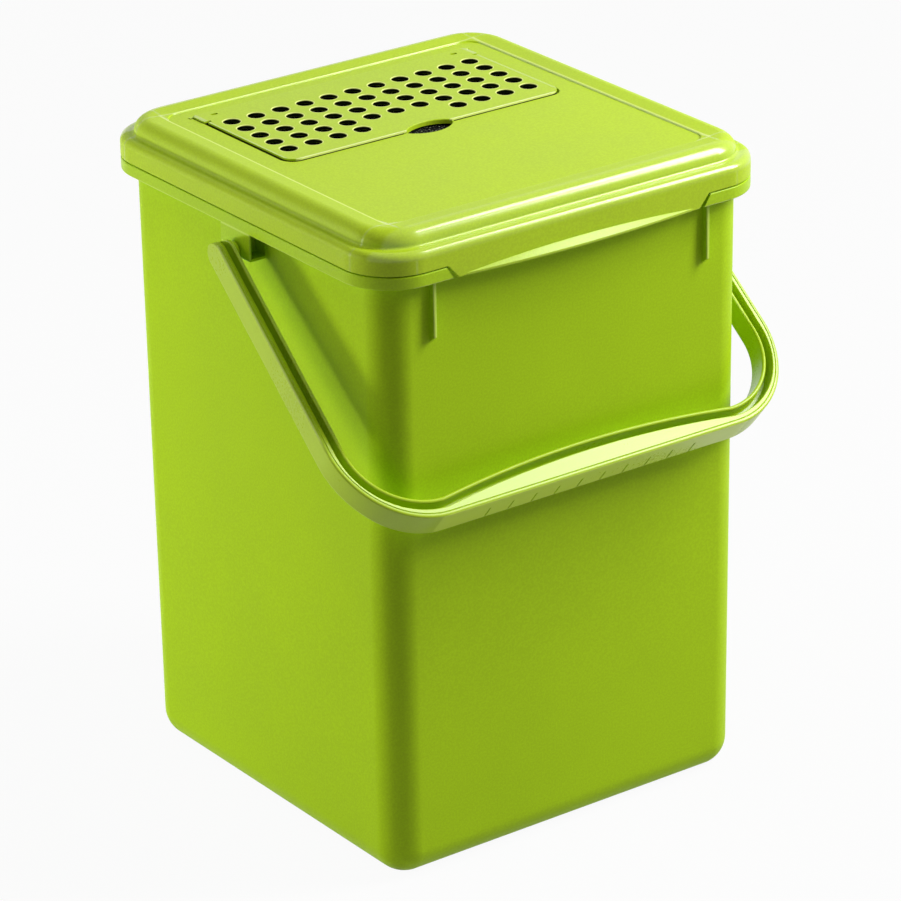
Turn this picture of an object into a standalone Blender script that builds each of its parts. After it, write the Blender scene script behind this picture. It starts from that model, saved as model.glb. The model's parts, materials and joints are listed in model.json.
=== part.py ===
"""Kitchen compost caddy: a square bucket, a hinged lid, a vented filter cover over a carbon pad, and a bail.

Metres, +Z up. The origin is the centre of the bucket's flat base. The front is -Y, and +X is to the right
seen from the front.
"""

import math

import bmesh
import bpy
from mathutils import Matrix, Vector

COLLECTION = "kitchen_compost_caddy"
CUTTER_COLLECTION = "cutters"

# Running gaps
TOUCH_GAP = 0.0003  # between pieces that rest on each other
SEAM_GAP = 0.0004  # between the lid's skirt and the rim flange
COVER_GAP = 0.0006  # round the filter cover in its opening
PIN_CLEARANCE = 0.0003  # radial, round every hinge pin
PLUG_CLEARANCE = 0.0009  # between the lid's plug ring and the bucket's inner wall

# Bucket walls
BUCKET_WIDTH = 0.1799  # outside, side to side, at the rim
BUCKET_DEPTH = 0.1811  # outside, front to back, at the rim
BUCKET_HEIGHT = 0.2650  # base to the top of the rim
WALL = 0.0022
WALL_DRAFT = 0.0011  # each wall leans out this much from base to rim
BUCKET_CORNER = 0.0135
BASE_FILLET = 0.0130

# Rim flange, turned down outside the wall
RIM_REACH = 0.0075  # from the wall's outer face to the flange's outer face
RIM_DROP = 0.0052  # height of the flange below the rim's top
RIM_CORNER = 0.0229

# Lid section, from the skirt inwards
SKIRT_HEIGHT = 0.0091  # up to the shoulder
SKIRT_ROUND = 0.0030
SHOULDER_WIDTH = 0.0024
BORDER_RISE = 0.0066  # shoulder to the crest
BORDER_ROUND = 0.0060
BORDER_WIDTH = 0.0073  # sloping down from the crest to the panel's edge
BORDER_FALL = 0.0010
PANEL_STEP = 0.0004
LID_CORNER_SHARE = 0.80  # how fast the corner radius shrinks towards the panel
LID_WALL = 0.0022
PLUG_DEPTH = 0.0085  # how far the plug ring reaches below the rim's top
PLUG_WALL = 0.0016

# Grip lip at the front of the lid
LIP_TOP_WIDTH = 0.1300
LIP_BOTTOM_WIDTH = 0.1185
LIP_DROP = 0.0057  # below the skirt's lower edge
LIP_GAP = 0.0012  # between the lip's slanted ends and the rim flange
LIP_FLARE = 0.0030
LIP_FLARE_WIDTH = 0.1120
LIP_FLARE_HEIGHT = 0.0050

# Filter cover
COVER_WIDTH = 0.1370
COVER_FRONT = 0.0022  # y of its front edge
COVER_LENGTH = 0.0700
COVER_THICKNESS = 0.0020
COVER_STANDS_PROUD = 0.0008  # above the panel
COVER_CORNER = 0.0060
HINGE_NOTCH = (0.0022, 0.0016)  # moulding holes beside the hinge
HINGE_NOTCH_X = 0.0605
HINGE_NOTCH_INSET = 0.0045
COVER_PEG_RADIUS = 0.0007
COVER_PEG_LENGTH = 0.0016

# Vent holes
HOLE_DIAMETER = 0.0072
HOLE_COLUMNS = 11
HOLE_ROWS = 5
HOLE_PITCH_X = 0.0120
HOLE_PITCH_Y = 0.0102
HOLE_GRID_Y = 0.0354
MISSING_FRONT_HOLES = 3  # left out behind the thumb notch
HOLE_SIDES = 12

# Thumb notch, an ellipse through the cover and the panel
NOTCH_WIDTH = 0.0244
NOTCH_LENGTH = 0.0118
NOTCH_Y = 0.0030

# Carbon pad and its tray
PAD_THICKNESS = 0.0095
PAD_LEDGE = 0.0021  # the cover's side ledges beyond the pad's well
PAD_TUCK = 0.0026  # how far the well runs on under the panel in front of the cover
PAD_GAP = 0.0005
TRAY_WALL = 0.0020
TRAY_FLOOR = 0.0018
SLOT_COLUMNS = 8
SLOT_ROWS = 4
SLOT_SIZE = (0.0110, 0.0110)
SLOT_PITCH = (0.0155, 0.0160)

# Handle lugs on the side walls
LUG_WIDTH = 0.0204
LUG_DROP = 0.0166  # rim's top to the lug's underside
LUG_SKIN = 0.0025
LUG_POCKET = 0.0030

# Ribs on the front wall under the ends of the flange
RIB_SPACE = 0.0025  # from the lip's end to the rib's middle
RIB_WIDTH = 0.0020
RIB_DEPTH = 0.0030
RIB_LENGTH = 0.0274

# Handle
PIVOT_Y = -0.0008
PIVOT_BELOW_RIM = 0.0144
PIN_RADIUS = 0.0022
PIN_LENGTH = 0.0060
BOSS_RADIUS = 0.0040
ARM_GAP = 0.00215  # from the lug to the arm, at the pivot
ARM_WIDTH = 0.0078
ARM_SPLAY = 0.0025  # how much further out the arms are where they bend
ARM_LENGTH = 0.0970  # pivot to the start of the outer bend
ARM_DEPTH = 0.0104
BEND_REACH = 0.0300  # from the arm's inner face to where the bend runs into the grip
INNER_BEND_START = 0.0990
GRIP_OUTER = 0.1364  # pivot to the grip's outer face
GRIP_WIDTH = 0.0135  # in the handle's plane, at the middle
GRIP_END_WIDTH = 0.0084
GRIP_DEPTH = 0.0134
GROOVE_WIDTH = 0.0028
FLANGE_WIDTH = 0.0017
GROOVE_DEPTH = 0.0067
HOLLOW_WALL = 0.0018
BEND_STEPS = 8
GRIP_STEPS = 10

# Lid hinge at the back
HINGE_X = 0.0450
HINGE_REACH = 0.0038  # flange's outer face to the pin
HINGE_BELOW_RIM = 0.0035
HINGE_PIN_RADIUS = 0.0018
KNUCKLE_RADIUS = 0.0033
KNUCKLE_WIDTH = 0.0140
EAR_WIDTH = 0.0030
EAR_GAP = 0.0004
KNUCKLE_SLOT = 0.0030

CORNER_STEPS = 6
ROUND_STEPS = 3
CUT_OVER = 0.0020  # how far a cutter runs past what it cuts
OVERLAP = 0.0008  # how far joined solids run into each other
MERGE = 0.00001
FLARE_STEPS = 14
ROUND_SIDES = 24
SHARP_ANGLE = math.radians(35)

# Worked out from the sizes above
HALF_W = BUCKET_WIDTH / 2
HALF_D = BUCKET_DEPTH / 2
RIM_W = HALF_W + RIM_REACH
RIM_D = HALF_D + RIM_REACH
SKIRT_Z = BUCKET_HEIGHT + SEAM_GAP
SHOULDER_Z = SKIRT_Z + SKIRT_HEIGHT
CREST_Z = SHOULDER_Z + BORDER_RISE
PANEL_Z = CREST_Z - BORDER_FALL - PANEL_STEP
COVER_TOP = PANEL_Z + COVER_STANDS_PROUD
COVER_UNDER = COVER_TOP - COVER_THICKNESS
COVER_BACK = COVER_FRONT + COVER_LENGTH
WELL_TOP = COVER_UNDER - TOUCH_GAP
WELL_HALF_W = COVER_WIDTH / 2 + COVER_GAP - PAD_LEDGE
WELL_FRONT = COVER_FRONT - COVER_GAP - PAD_TUCK
WELL_BACK = COVER_BACK - PAD_LEDGE
PAD_TOP = WELL_TOP - TOUCH_GAP
WELL_FLOOR = PAD_TOP - PAD_THICKNESS - TOUCH_GAP
TRAY_BOTTOM = WELL_FLOOR - TRAY_FLOOR
PIVOT_Z = BUCKET_HEIGHT - PIVOT_BELOW_RIM
HINGE_Y = RIM_D + HINGE_REACH
HINGE_Z = BUCKET_HEIGHT - HINGE_BELOW_RIM
RIB_X = LIP_TOP_WIDTH / 2 + RIB_SPACE
ARM_INNER_X = RIM_W + ARM_GAP
BEND_X = ARM_INNER_X + ARM_SPLAY - BEND_REACH


def clear_scene():
    for item in list(bpy.data.objects):
        bpy.data.objects.remove(item, do_unlink=True)


def make_collection(name):
    group = bpy.data.collections.get(name) or bpy.data.collections.new(name)
    if name not in bpy.context.scene.collection.children:
        bpy.context.scene.collection.children.link(group)
    return group


def plastic(name, color, roughness):
    material = bpy.data.materials.new(name)
    material.use_nodes = True
    shader = material.node_tree.nodes["Principled BSDF"]
    shader.inputs["Base Color"].default_value = (*color, 1.0)
    shader.inputs["Roughness"].default_value = roughness
    shader.inputs["Metallic"].default_value = 0.0
    return material


def add_object(name, bm, group, material=None):
    mesh = bpy.data.meshes.new(name)
    bm.to_mesh(mesh)
    bm.free()
    item = bpy.data.objects.new(name, mesh)
    group.objects.link(item)
    if material:
        mesh.materials.append(material)
        mesh.shade_smooth()
        mesh.set_sharp_from_angle(angle=SHARP_ANGLE)
    return item


def add_cutter(name, bm):
    """A closed solid for a Boolean, hidden from the render."""
    bmesh.ops.recalc_face_normals(bm, faces=bm.faces)
    item = add_object(name, bm, make_collection(CUTTER_COLLECTION))
    item.hide_render = True
    item.display_type = "WIRE"
    return item


def boolean(item, cutter, operation):
    """Cuts or joins, with the cutter parented so that it moves with its piece."""
    cutter.parent = item
    step = item.modifiers.new(cutter.name, "BOOLEAN")
    step.operation = operation
    step.solver = "EXACT"
    step.object = cutter


def join(item, name, bm):
    boolean(item, add_cutter(name, bm), "UNION")


def cut(item, name, bm):
    boolean(item, add_cutter(name, bm), "DIFFERENCE")


def box(low, high):
    bm = bmesh.new()
    bmesh.ops.create_cube(bm, size=1.0)
    low, high = Vector(low), Vector(high)
    bmesh.ops.scale(bm, vec=high - low, verts=bm.verts)
    bmesh.ops.translate(bm, vec=(low + high) / 2, verts=bm.verts)
    return bm


def add_cylinder(bm, radius, length, place, sides):
    ends = {"radius1": radius, "radius2": radius}
    bmesh.ops.create_cone(bm, cap_ends=True, segments=sides, depth=length, matrix=place, **ends)


def cylinder_x(radius, x_from, x_to, y, z, sides=ROUND_SIDES):
    """A cylinder along X."""
    bm = bmesh.new()
    place = Matrix.Translation(((x_from + x_to) / 2, y, z)) @ Matrix.Rotation(math.pi / 2, 4, "Y")
    add_cylinder(bm, radius, abs(x_to - x_from), place, sides)
    return bm


def rounded_rectangle(half_w, half_d, radius, steps=CORNER_STEPS):
    """Points of a rounded rectangle round the origin, anticlockwise from above."""
    points = []
    for quarter in range(4):
        sign_x = 1 if quarter in (0, 3) else -1
        sign_y = 1 if quarter in (0, 1) else -1
        for step in range(steps + 1):
            angle = (quarter + step / steps) * math.pi / 2
            points.append(
                (
                    sign_x * (half_w - radius) + radius * math.cos(angle),
                    sign_y * (half_d - radius) + radius * math.sin(angle),
                )
            )
    return points


def first_ring(bm, points):
    verts = [bm.verts.new(point) for point in points]
    return verts, [bm.edges.new((a, b)) for a, b in zip(verts, verts[1:] + verts[:1])]


def next_ring(bm, verts, edges, points):
    """Extrudes a ring of edges and moves the new ring's corners to their own points."""
    moved = bmesh.ops.extrude_edge_only(bm, edges=edges)["geom"]
    fresh = {item for item in moved if isinstance(item, bmesh.types.BMVert)}
    following = [next(e.other_vert(v) for e in v.link_edges if e.other_vert(v) in fresh) for v in verts]
    for vert, point in zip(following, points):
        vert.co = point
    return following, [bm.edges.get(pair) for pair in zip(following, following[1:] + following[:1])]


def loft(rings, cap_first=False, cap_last=False):
    """A surface through rings of (x, y, z) points, open or capped at its ends."""
    bm = bmesh.new()
    verts, edges = first_ring(bm, rings[0])
    start = edges
    for points in rings[1:]:
        verts, edges = next_ring(bm, verts, edges, points)
    if cap_first:
        bmesh.ops.edgeloop_fill(bm, edges=start)
    if cap_last:
        bmesh.ops.edgeloop_fill(bm, edges=edges)
    bmesh.ops.recalc_face_normals(bm, faces=bm.faces)
    return bm


def at_height(points, z):
    return [(x, y, z) for x, y in points]


def prism(points, low, high):
    """A flat outline raised from one height to another."""
    return loft([at_height(points, low), at_height(points, high)], cap_first=True, cap_last=True)


def face_up(bm, wanted):
    """Turns an open surface so that its first cap faces along the wanted direction."""
    cap = max(bm.faces, key=lambda face: len(face.verts))
    cap.normal_update()
    if cap.normal.dot(Vector(wanted)) < 0:
        bmesh.ops.reverse_faces(bm, faces=bm.faces)


def solidify(item, thickness):
    step = item.modifiers.new("wall", "SOLIDIFY")
    step.thickness = thickness
    step.offset = -1.0
    step.use_even_offset = True
    step.use_quality_normals = True
    step.use_rim = True


def bucket_surface():
    """The bucket's outer face from the base up, then under the rim and down inside its flange."""
    foot_w, foot_d = HALF_W - WALL_DRAFT, HALF_D - WALL_DRAFT
    rings = []
    for step in range(ROUND_STEPS + 1):
        angle = step / ROUND_STEPS * math.pi / 2
        inset = BASE_FILLET * (1 - math.sin(angle))
        corner = max(BUCKET_CORNER - inset, BUCKET_CORNER * 0.2)
        outline = rounded_rectangle(foot_w - inset, foot_d - inset, corner)
        rings.append(at_height(outline, BASE_FILLET * (1 - math.cos(angle))))
    under_rim = BUCKET_HEIGHT - WALL
    rings.append(at_height(rounded_rectangle(HALF_W, HALF_D, BUCKET_CORNER), under_rim))
    inner_w, inner_d = RIM_W - WALL, RIM_D - WALL
    flange = rounded_rectangle(inner_w, inner_d, RIM_CORNER - WALL)
    rings.append(at_height(flange, under_rim))
    rings.append(at_height(flange, BUCKET_HEIGHT - RIM_DROP))
    bm = loft(rings, cap_first=True)
    face_up(bm, (0, 0, -1))
    return bm


def wall_half(height, half):
    """Half the bucket's outer size at a height, where half is its size at the rim."""
    span = BUCKET_HEIGHT - WALL - BASE_FILLET
    return half - WALL_DRAFT * (1 - (height - BASE_FILLET) / span)


def lip_outline(extra, top, bottom):
    """The trapezium of the grip lip seen from the front, grown by a gap."""
    top_half, bottom_half = LIP_TOP_WIDTH / 2 + extra, LIP_BOTTOM_WIDTH / 2 + extra
    return [(-bottom_half, bottom), (bottom_half, bottom), (top_half, top), (-top_half, top)]


def extruded(outline, step):
    """A closed flat outline of (x, y, z) points moved along a step."""
    moved = [tuple(Vector(point) + Vector(step)) for point in outline]
    return loft([outline, moved], cap_first=True, cap_last=True)


def front_prism(outline, y_from, y_to):
    """An outline of (x, z) points extruded along Y."""
    return extruded([(x, y_from, z) for x, z in outline], (0, y_to - y_from, 0))


def add_lugs(bucket):
    """Hollow lugs flush with the flange, one on each side, that carry the handle's pins."""
    top = BUCKET_HEIGHT - OVERLAP
    bottom = BUCKET_HEIGHT - LUG_DROP
    for side, name in ((-1, "left"), (1, "right")):
        inner, outer = side * (HALF_W - OVERLAP), side * RIM_W
        low, high = min(inner, outer), max(inner, outer)
        half = LUG_WIDTH / 2
        join(bucket, f"lug_{name}", box((low, PIVOT_Y - half, bottom), (high, PIVOT_Y + half, top)))
        boss_radius = PIN_RADIUS + PIN_CLEARANCE + LUG_SKIN
        join(bucket, f"lug_boss_{name}", cylinder_x(boss_radius, inner, outer, PIVOT_Y, PIVOT_Z))
        pocket_out = side * (RIM_W - LUG_SKIN)
        pocket_in = side * (HALF_W + OVERLAP)
        front = PIVOT_Y - half
        low = (min(pocket_in, pocket_out), front - CUT_OVER, bottom + LUG_SKIN / 2)
        high = (max(pocket_in, pocket_out), front + LUG_POCKET, top - WALL - OVERLAP)
        cut(bucket, f"lug_pocket_{name}", box(low, high))
        hole_end = side * (HALF_W + OVERLAP)
        hole = cylinder_x(PIN_RADIUS + PIN_CLEARANCE, hole_end, side * (RIM_W + CUT_OVER), PIVOT_Y, PIVOT_Z)
        cut(bucket, f"lug_hole_{name}", hole)


def add_front_ribs(bucket):
    top = BUCKET_HEIGHT - WALL / 2
    bottom = BUCKET_HEIGHT - RIM_DROP - RIB_LENGTH
    for side, name in ((-1, "left"), (1, "right")):
        outer = -(HALF_D + RIB_DEPTH)
        inner = -(wall_half(bottom, HALF_D) - OVERLAP)
        profile = [(inner, bottom), (outer, bottom + RIB_DEPTH), (outer, top), (inner, top)]
        x = side * RIB_X - RIB_WIDTH / 2
        join(bucket, f"front_rib_{name}", extruded([(x, y, z) for y, z in profile], (RIB_WIDTH, 0, 0)))


def hinge_spans(side):
    """X of the knuckle's and the two ears' ends for one hinge, from its middle."""
    middle = side * HINGE_X
    knuckle = (middle - KNUCKLE_WIDTH / 2, middle + KNUCKLE_WIDTH / 2)
    left = (knuckle[0] - EAR_GAP - EAR_WIDTH, knuckle[0] - EAR_GAP)
    right = (knuckle[1] + EAR_GAP, knuckle[1] + EAR_GAP + EAR_WIDTH)
    return knuckle, left, right


def add_hinge_ears(bucket):
    """Two ears and a moulded pin for each knuckle of the lid."""
    for side, name in ((-1, "left"), (1, "right")):
        _, left, right = hinge_spans(side)
        for ear, end in ((left, "outer"), (right, "inner")):
            label = f"{name}_{end}"
            join(bucket, f"ear_round_{label}", cylinder_x(KNUCKLE_RADIUS, ear[0], ear[1], HINGE_Y, HINGE_Z))
            web_low = (ear[0], RIM_D - WALL / 2, HINGE_Z - KNUCKLE_RADIUS * 0.8)
            web_high = (ear[1], HINGE_Y, HINGE_Z + KNUCKLE_RADIUS * 0.8)
            join(bucket, f"ear_web_{label}", box(web_low, web_high))
        pin_ends = (left[0] + EAR_WIDTH / 2, right[1] - EAR_WIDTH / 2)
        join(bucket, f"hinge_pin_{name}", cylinder_x(HINGE_PIN_RADIUS, *pin_ends, HINGE_Y, HINGE_Z))


def make_bucket(group, material):
    bucket = add_object("bucket", bucket_surface(), group, material)
    solidify(bucket, WALL)
    outline = lip_outline(LIP_GAP, BUCKET_HEIGHT + CUT_OVER, BUCKET_HEIGHT - RIM_DROP - CUT_OVER)
    y_front = -(RIM_D + CUT_OVER)
    y_back = -(RIM_D - LID_WALL - LIP_GAP)
    cut(bucket, "lip_cutout", front_prism(outline, y_front, y_back))
    add_lugs(bucket)
    add_front_ribs(bucket)
    add_hinge_ears(bucket)
    return bucket


def rounded_step(inset, top, radius):
    """A quarter round from an upright face at an inset to a level face at the top."""
    points = []
    for step in range(1, ROUND_STEPS + 1):
        angle = step / ROUND_STEPS * math.pi / 2
        points.append((inset + radius * (1 - math.cos(angle)), top - radius * (1 - math.sin(angle))))
    return points


def lid_profile():
    """Inset and height of each ring of the lid's outer face, from the skirt's foot up and in to the panel."""
    border = SKIRT_ROUND + SHOULDER_WIDTH
    crest = border + BORDER_ROUND
    panel = crest + BORDER_WIDTH
    return [
        (0.0, SKIRT_Z),
        (0.0, SHOULDER_Z - SKIRT_ROUND),
        *rounded_step(0.0, SHOULDER_Z, SKIRT_ROUND),
        (border, SHOULDER_Z),
        (border, CREST_Z - BORDER_ROUND),
        *rounded_step(border, CREST_Z, BORDER_ROUND),
        (panel, CREST_Z - BORDER_FALL),
        (panel + PANEL_STEP, PANEL_Z),
    ]


def lid_surface():
    rings = []
    for inset, z in lid_profile():
        corner = RIM_CORNER - inset * LID_CORNER_SHARE
        rings.append(at_height(rounded_rectangle(RIM_W - inset, RIM_D - inset, corner), z))
    bm = loft(rings, cap_last=True)
    face_up(bm, (0, 0, 1))
    return bm


def lip_flare():
    """A shallow crescent that swells out of the lip's lower edge: a wedge turned about a far upright axis."""
    half = LIP_FLARE_WIDTH / 2
    radius = (half * half + LIP_FLARE * LIP_FLARE) / (2 * LIP_FLARE)
    centre_y = -(RIM_D + LIP_FLARE) + radius
    sweep = math.asin(half / radius) * 1.06
    bottom = SKIRT_Z - LIP_DROP
    root = radius - LIP_FLARE - LID_WALL * 2
    profile = [
        (root, bottom),
        (radius, bottom),
        (radius - LIP_FLARE * 1.1, bottom + LIP_FLARE_HEIGHT * 1.1),
        (root, bottom + LIP_FLARE_HEIGHT * 1.1),
    ]
    bm = bmesh.new()
    first = [bm.verts.new((0.0, centre_y - r, z)) for r, z in profile]
    face = bm.faces.new(first)
    turn_axis = {"cent": (0.0, centre_y, 0.0)}
    bmesh.ops.rotate(bm, verts=first, matrix=Matrix.Rotation(-sweep, 3, "Z"), **turn_axis)
    section = [face, *face.edges, *first]
    bmesh.ops.spin(bm, geom=section, axis=(0, 0, 1), angle=2 * sweep, steps=FLARE_STEPS, **turn_axis)
    bmesh.ops.recalc_face_normals(bm, faces=bm.faces)
    inside = {"plane_co": (0.0, -(RIM_D - LID_WALL / 2), 0.0), "plane_no": (0, 1, 0), "clear_outer": True}
    sliced = bmesh.ops.bisect_plane(bm, geom=[*bm.verts, *bm.edges, *bm.faces], **inside)
    bmesh.ops.edgeloop_fill(bm, edges=[e for e in sliced["geom_cut"] if isinstance(e, bmesh.types.BMEdge)])
    return bm


def plug_ring():
    """The ring under the lid that stands just inside the bucket's wall."""
    half_w = HALF_W - WALL - PLUG_CLEARANCE
    half_d = HALF_D - WALL - PLUG_CLEARANCE
    corner = BUCKET_CORNER - WALL
    inside = BUCKET_HEIGHT - PLUG_DEPTH
    top = CREST_Z - LID_WALL / 2
    outer = rounded_rectangle(half_w, half_d, corner)
    inner = rounded_rectangle(half_w - PLUG_WALL, half_d - PLUG_WALL, corner - PLUG_WALL)
    rings = [at_height(outer, inside), at_height(outer, top), at_height(inner, top), at_height(inner, inside)]
    bm = loft(rings + rings[:1])
    bmesh.ops.remove_doubles(bm, verts=bm.verts, dist=MERGE)
    bmesh.ops.recalc_face_normals(bm, faces=bm.faces)
    return bm


def thumb_notch(low, high):
    points = []
    for step in range(ROUND_SIDES):
        angle = step / ROUND_SIDES * 2 * math.pi
        points.append((NOTCH_WIDTH / 2 * math.cos(angle), NOTCH_Y + NOTCH_LENGTH / 2 * math.sin(angle)))
    return prism(points, low, high)


def cover_outline(grow, back):
    """The filter cover from above, grown by a gap: rounded front corners and a square back."""
    half_w, front, corner = COVER_WIDTH / 2 + grow, COVER_FRONT - grow, COVER_CORNER + grow
    points = [(half_w, back), (-half_w, back)]
    for side, start in ((-1, math.pi), (1, 1.5 * math.pi)):
        for step in range(CORNER_STEPS + 1):
            angle = start + step / CORNER_STEPS * math.pi / 2
            x = side * (half_w - corner) + corner * math.cos(angle)
            points.append((x, front + corner * (1 + math.sin(angle))))
    return points


def add_tray(lid):
    """The filter's tray below the panel, with a ledge for the cover and slots through its floor."""
    half_w = COVER_WIDTH / 2 + COVER_GAP
    low = (-half_w - TRAY_WALL, WELL_FRONT - TRAY_WALL, TRAY_BOTTOM)
    high = (half_w + TRAY_WALL, COVER_BACK + COVER_GAP + TRAY_WALL, PANEL_Z - LID_WALL / 2)
    join(lid, "tray", box(low, high))
    outline = cover_outline(COVER_GAP, COVER_BACK + COVER_GAP)
    cut(lid, "cover_opening", prism(outline, WELL_TOP, PANEL_Z + CUT_OVER))
    well = box((-WELL_HALF_W, WELL_FRONT, WELL_FLOOR), (WELL_HALF_W, WELL_BACK, WELL_TOP + CUT_OVER / 2))
    cut(lid, "pad_well", well)
    cut(lid, "notch_in_panel", thumb_notch(WELL_TOP - OVERLAP, PANEL_Z + CUT_OVER))
    slots = bmesh.new()
    for column in range(SLOT_COLUMNS):
        for row in range(SLOT_ROWS):
            x = (column - (SLOT_COLUMNS - 1) / 2) * SLOT_PITCH[0]
            y = (WELL_FRONT + WELL_BACK) / 2 + (row - (SLOT_ROWS - 1) / 2) * SLOT_PITCH[1]
            place = Matrix.Translation((x, y, (TRAY_BOTTOM + WELL_FLOOR) / 2))
            size = Matrix.Diagonal((SLOT_SIZE[0], SLOT_SIZE[1], TRAY_FLOOR + CUT_OVER, 1.0))
            bmesh.ops.create_cube(slots, size=1.0, matrix=place @ size)
    cut(lid, "tray_slots", slots)
    for side, name in ((-1, "left"), (1, "right")):
        radius = COVER_PEG_RADIUS + PIN_CLEARANCE
        y, z = cover_axis()
        x_from, x_to = side * (half_w - CUT_OVER / 2), side * (half_w + COVER_PEG_LENGTH)
        cut(lid, f"peg_hole_{name}", cylinder_x(radius, x_from, x_to, y, z, sides=12))
        slot = box((min(x_from, x_to), y - radius, z), (max(x_from, x_to), y + radius, PANEL_Z + CUT_OVER))
        cut(lid, f"peg_slot_{name}", slot)


def add_knuckles(lid):
    """Two hooked knuckles that snap over the bucket's hinge pins."""
    for side, name in ((-1, "left"), (1, "right")):
        knuckle, _, _ = hinge_spans(side)
        join(lid, f"knuckle_{name}", cylinder_x(KNUCKLE_RADIUS, knuckle[0], knuckle[1], HINGE_Y, HINGE_Z))
        neck_low = (knuckle[0], RIM_D - LID_WALL / 2, SKIRT_Z + OVERLAP / 2)
        neck_high = (knuckle[1], HINGE_Y + KNUCKLE_RADIUS / 2, SKIRT_Z + OVERLAP / 2 + LID_WALL)
        join(lid, f"knuckle_neck_{name}", box(neck_low, neck_high))
        stem_low = (knuckle[0], HINGE_Y - KNUCKLE_RADIUS / 2, HINGE_Z)
        stem_high = (knuckle[1], HINGE_Y + KNUCKLE_RADIUS / 2, SKIRT_Z + OVERLAP)
        join(lid, f"knuckle_stem_{name}", box(stem_low, stem_high))
        bore = HINGE_PIN_RADIUS + PIN_CLEARANCE
        x_from, x_to = knuckle[0] - CUT_OVER, knuckle[1] + CUT_OVER
        cut(lid, f"knuckle_bore_{name}", cylinder_x(bore, x_from, x_to, HINGE_Y, HINGE_Z))
        slot_low = (x_from, HINGE_Y - KNUCKLE_SLOT / 2, HINGE_Z - KNUCKLE_RADIUS - CUT_OVER)
        slot_high = (x_to, HINGE_Y + KNUCKLE_SLOT / 2, HINGE_Z)
        cut(lid, f"knuckle_mouth_{name}", box(slot_low, slot_high))


def make_lid(group, material):
    lid = add_object("lid", lid_surface(), group, material)
    solidify(lid, LID_WALL)
    join(lid, "plug_ring", plug_ring())
    lip = lip_outline(0.0, SKIRT_Z + OVERLAP, SKIRT_Z - LIP_DROP)
    join(lid, "grip_lip", front_prism(lip, -RIM_D, -(RIM_D - LID_WALL)))
    join(lid, "lip_flare", lip_flare())
    add_tray(lid)
    add_knuckles(lid)
    return lid


def cover_axis():
    """Y and z of the filter cover's hinge, inside its rounded back edge."""
    radius = COVER_THICKNESS / 2
    return COVER_BACK - radius, COVER_TOP - radius


def vent_holes():
    """Every vent hole but those left out behind the thumb notch."""
    bm = bmesh.new()
    middle = (HOLE_COLUMNS - 1) / 2
    for row in range(HOLE_ROWS):
        for column in range(HOLE_COLUMNS):
            off = column - middle
            if row == 0 and abs(off) < MISSING_FRONT_HOLES / 2:
                continue
            x = off * HOLE_PITCH_X
            y = HOLE_GRID_Y + (row - (HOLE_ROWS - 1) / 2) * HOLE_PITCH_Y
            place = Matrix.Translation((x, y, (COVER_TOP + COVER_UNDER) / 2))
            add_cylinder(bm, HOLE_DIAMETER / 2, COVER_THICKNESS + 2 * CUT_OVER, place, HOLE_SIDES)
    return bm


def make_filter_cover(group, material):
    axis_y, axis_z = cover_axis()
    half_w = COVER_WIDTH / 2
    plate = prism(cover_outline(0.0, axis_y), COVER_UNDER, COVER_TOP)
    cover = add_object("filter_cover", plate, group, material)
    radius = COVER_THICKNESS / 2
    join(cover, "cover_back_edge", cylinder_x(radius, -half_w, half_w, axis_y, axis_z))
    reach = half_w + COVER_GAP + COVER_PEG_LENGTH - PIN_CLEARANCE
    join(cover, "cover_pegs", cylinder_x(COVER_PEG_RADIUS, -reach, reach, axis_y, axis_z, sides=12))
    cut(cover, "vent_holes", vent_holes())
    cut(cover, "notch_in_cover", thumb_notch(COVER_UNDER - CUT_OVER, COVER_TOP + CUT_OVER))
    for side, name in ((-1, "left"), (1, "right")):
        x, y = side * HINGE_NOTCH_X, COVER_BACK - HINGE_NOTCH_INSET
        low = (x - HINGE_NOTCH[0] / 2, y - HINGE_NOTCH[1] / 2, COVER_UNDER - CUT_OVER)
        high = (x + HINGE_NOTCH[0] / 2, y + HINGE_NOTCH[1] / 2, COVER_TOP + CUT_OVER)
        cut(cover, f"hinge_notch_{name}", box(low, high))
    return cover


def make_carbon_filter(group, material):
    low = (-WELL_HALF_W + PAD_GAP, WELL_FRONT + PAD_GAP, WELL_FLOOR + TOUCH_GAP)
    high = (WELL_HALF_W - PAD_GAP, WELL_BACK - PAD_GAP, PAD_TOP)
    return add_object("carbon_filter", box(low, high), group, material)


def grip_inner(x):
    """Distance from the pivot to the grip's inner edge, which bows up towards the middle."""
    share = (x / BEND_X) ** 2
    width = GRIP_WIDTH + (GRIP_END_WIDTH - GRIP_WIDTH) * share
    return GRIP_OUTER - width


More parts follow.
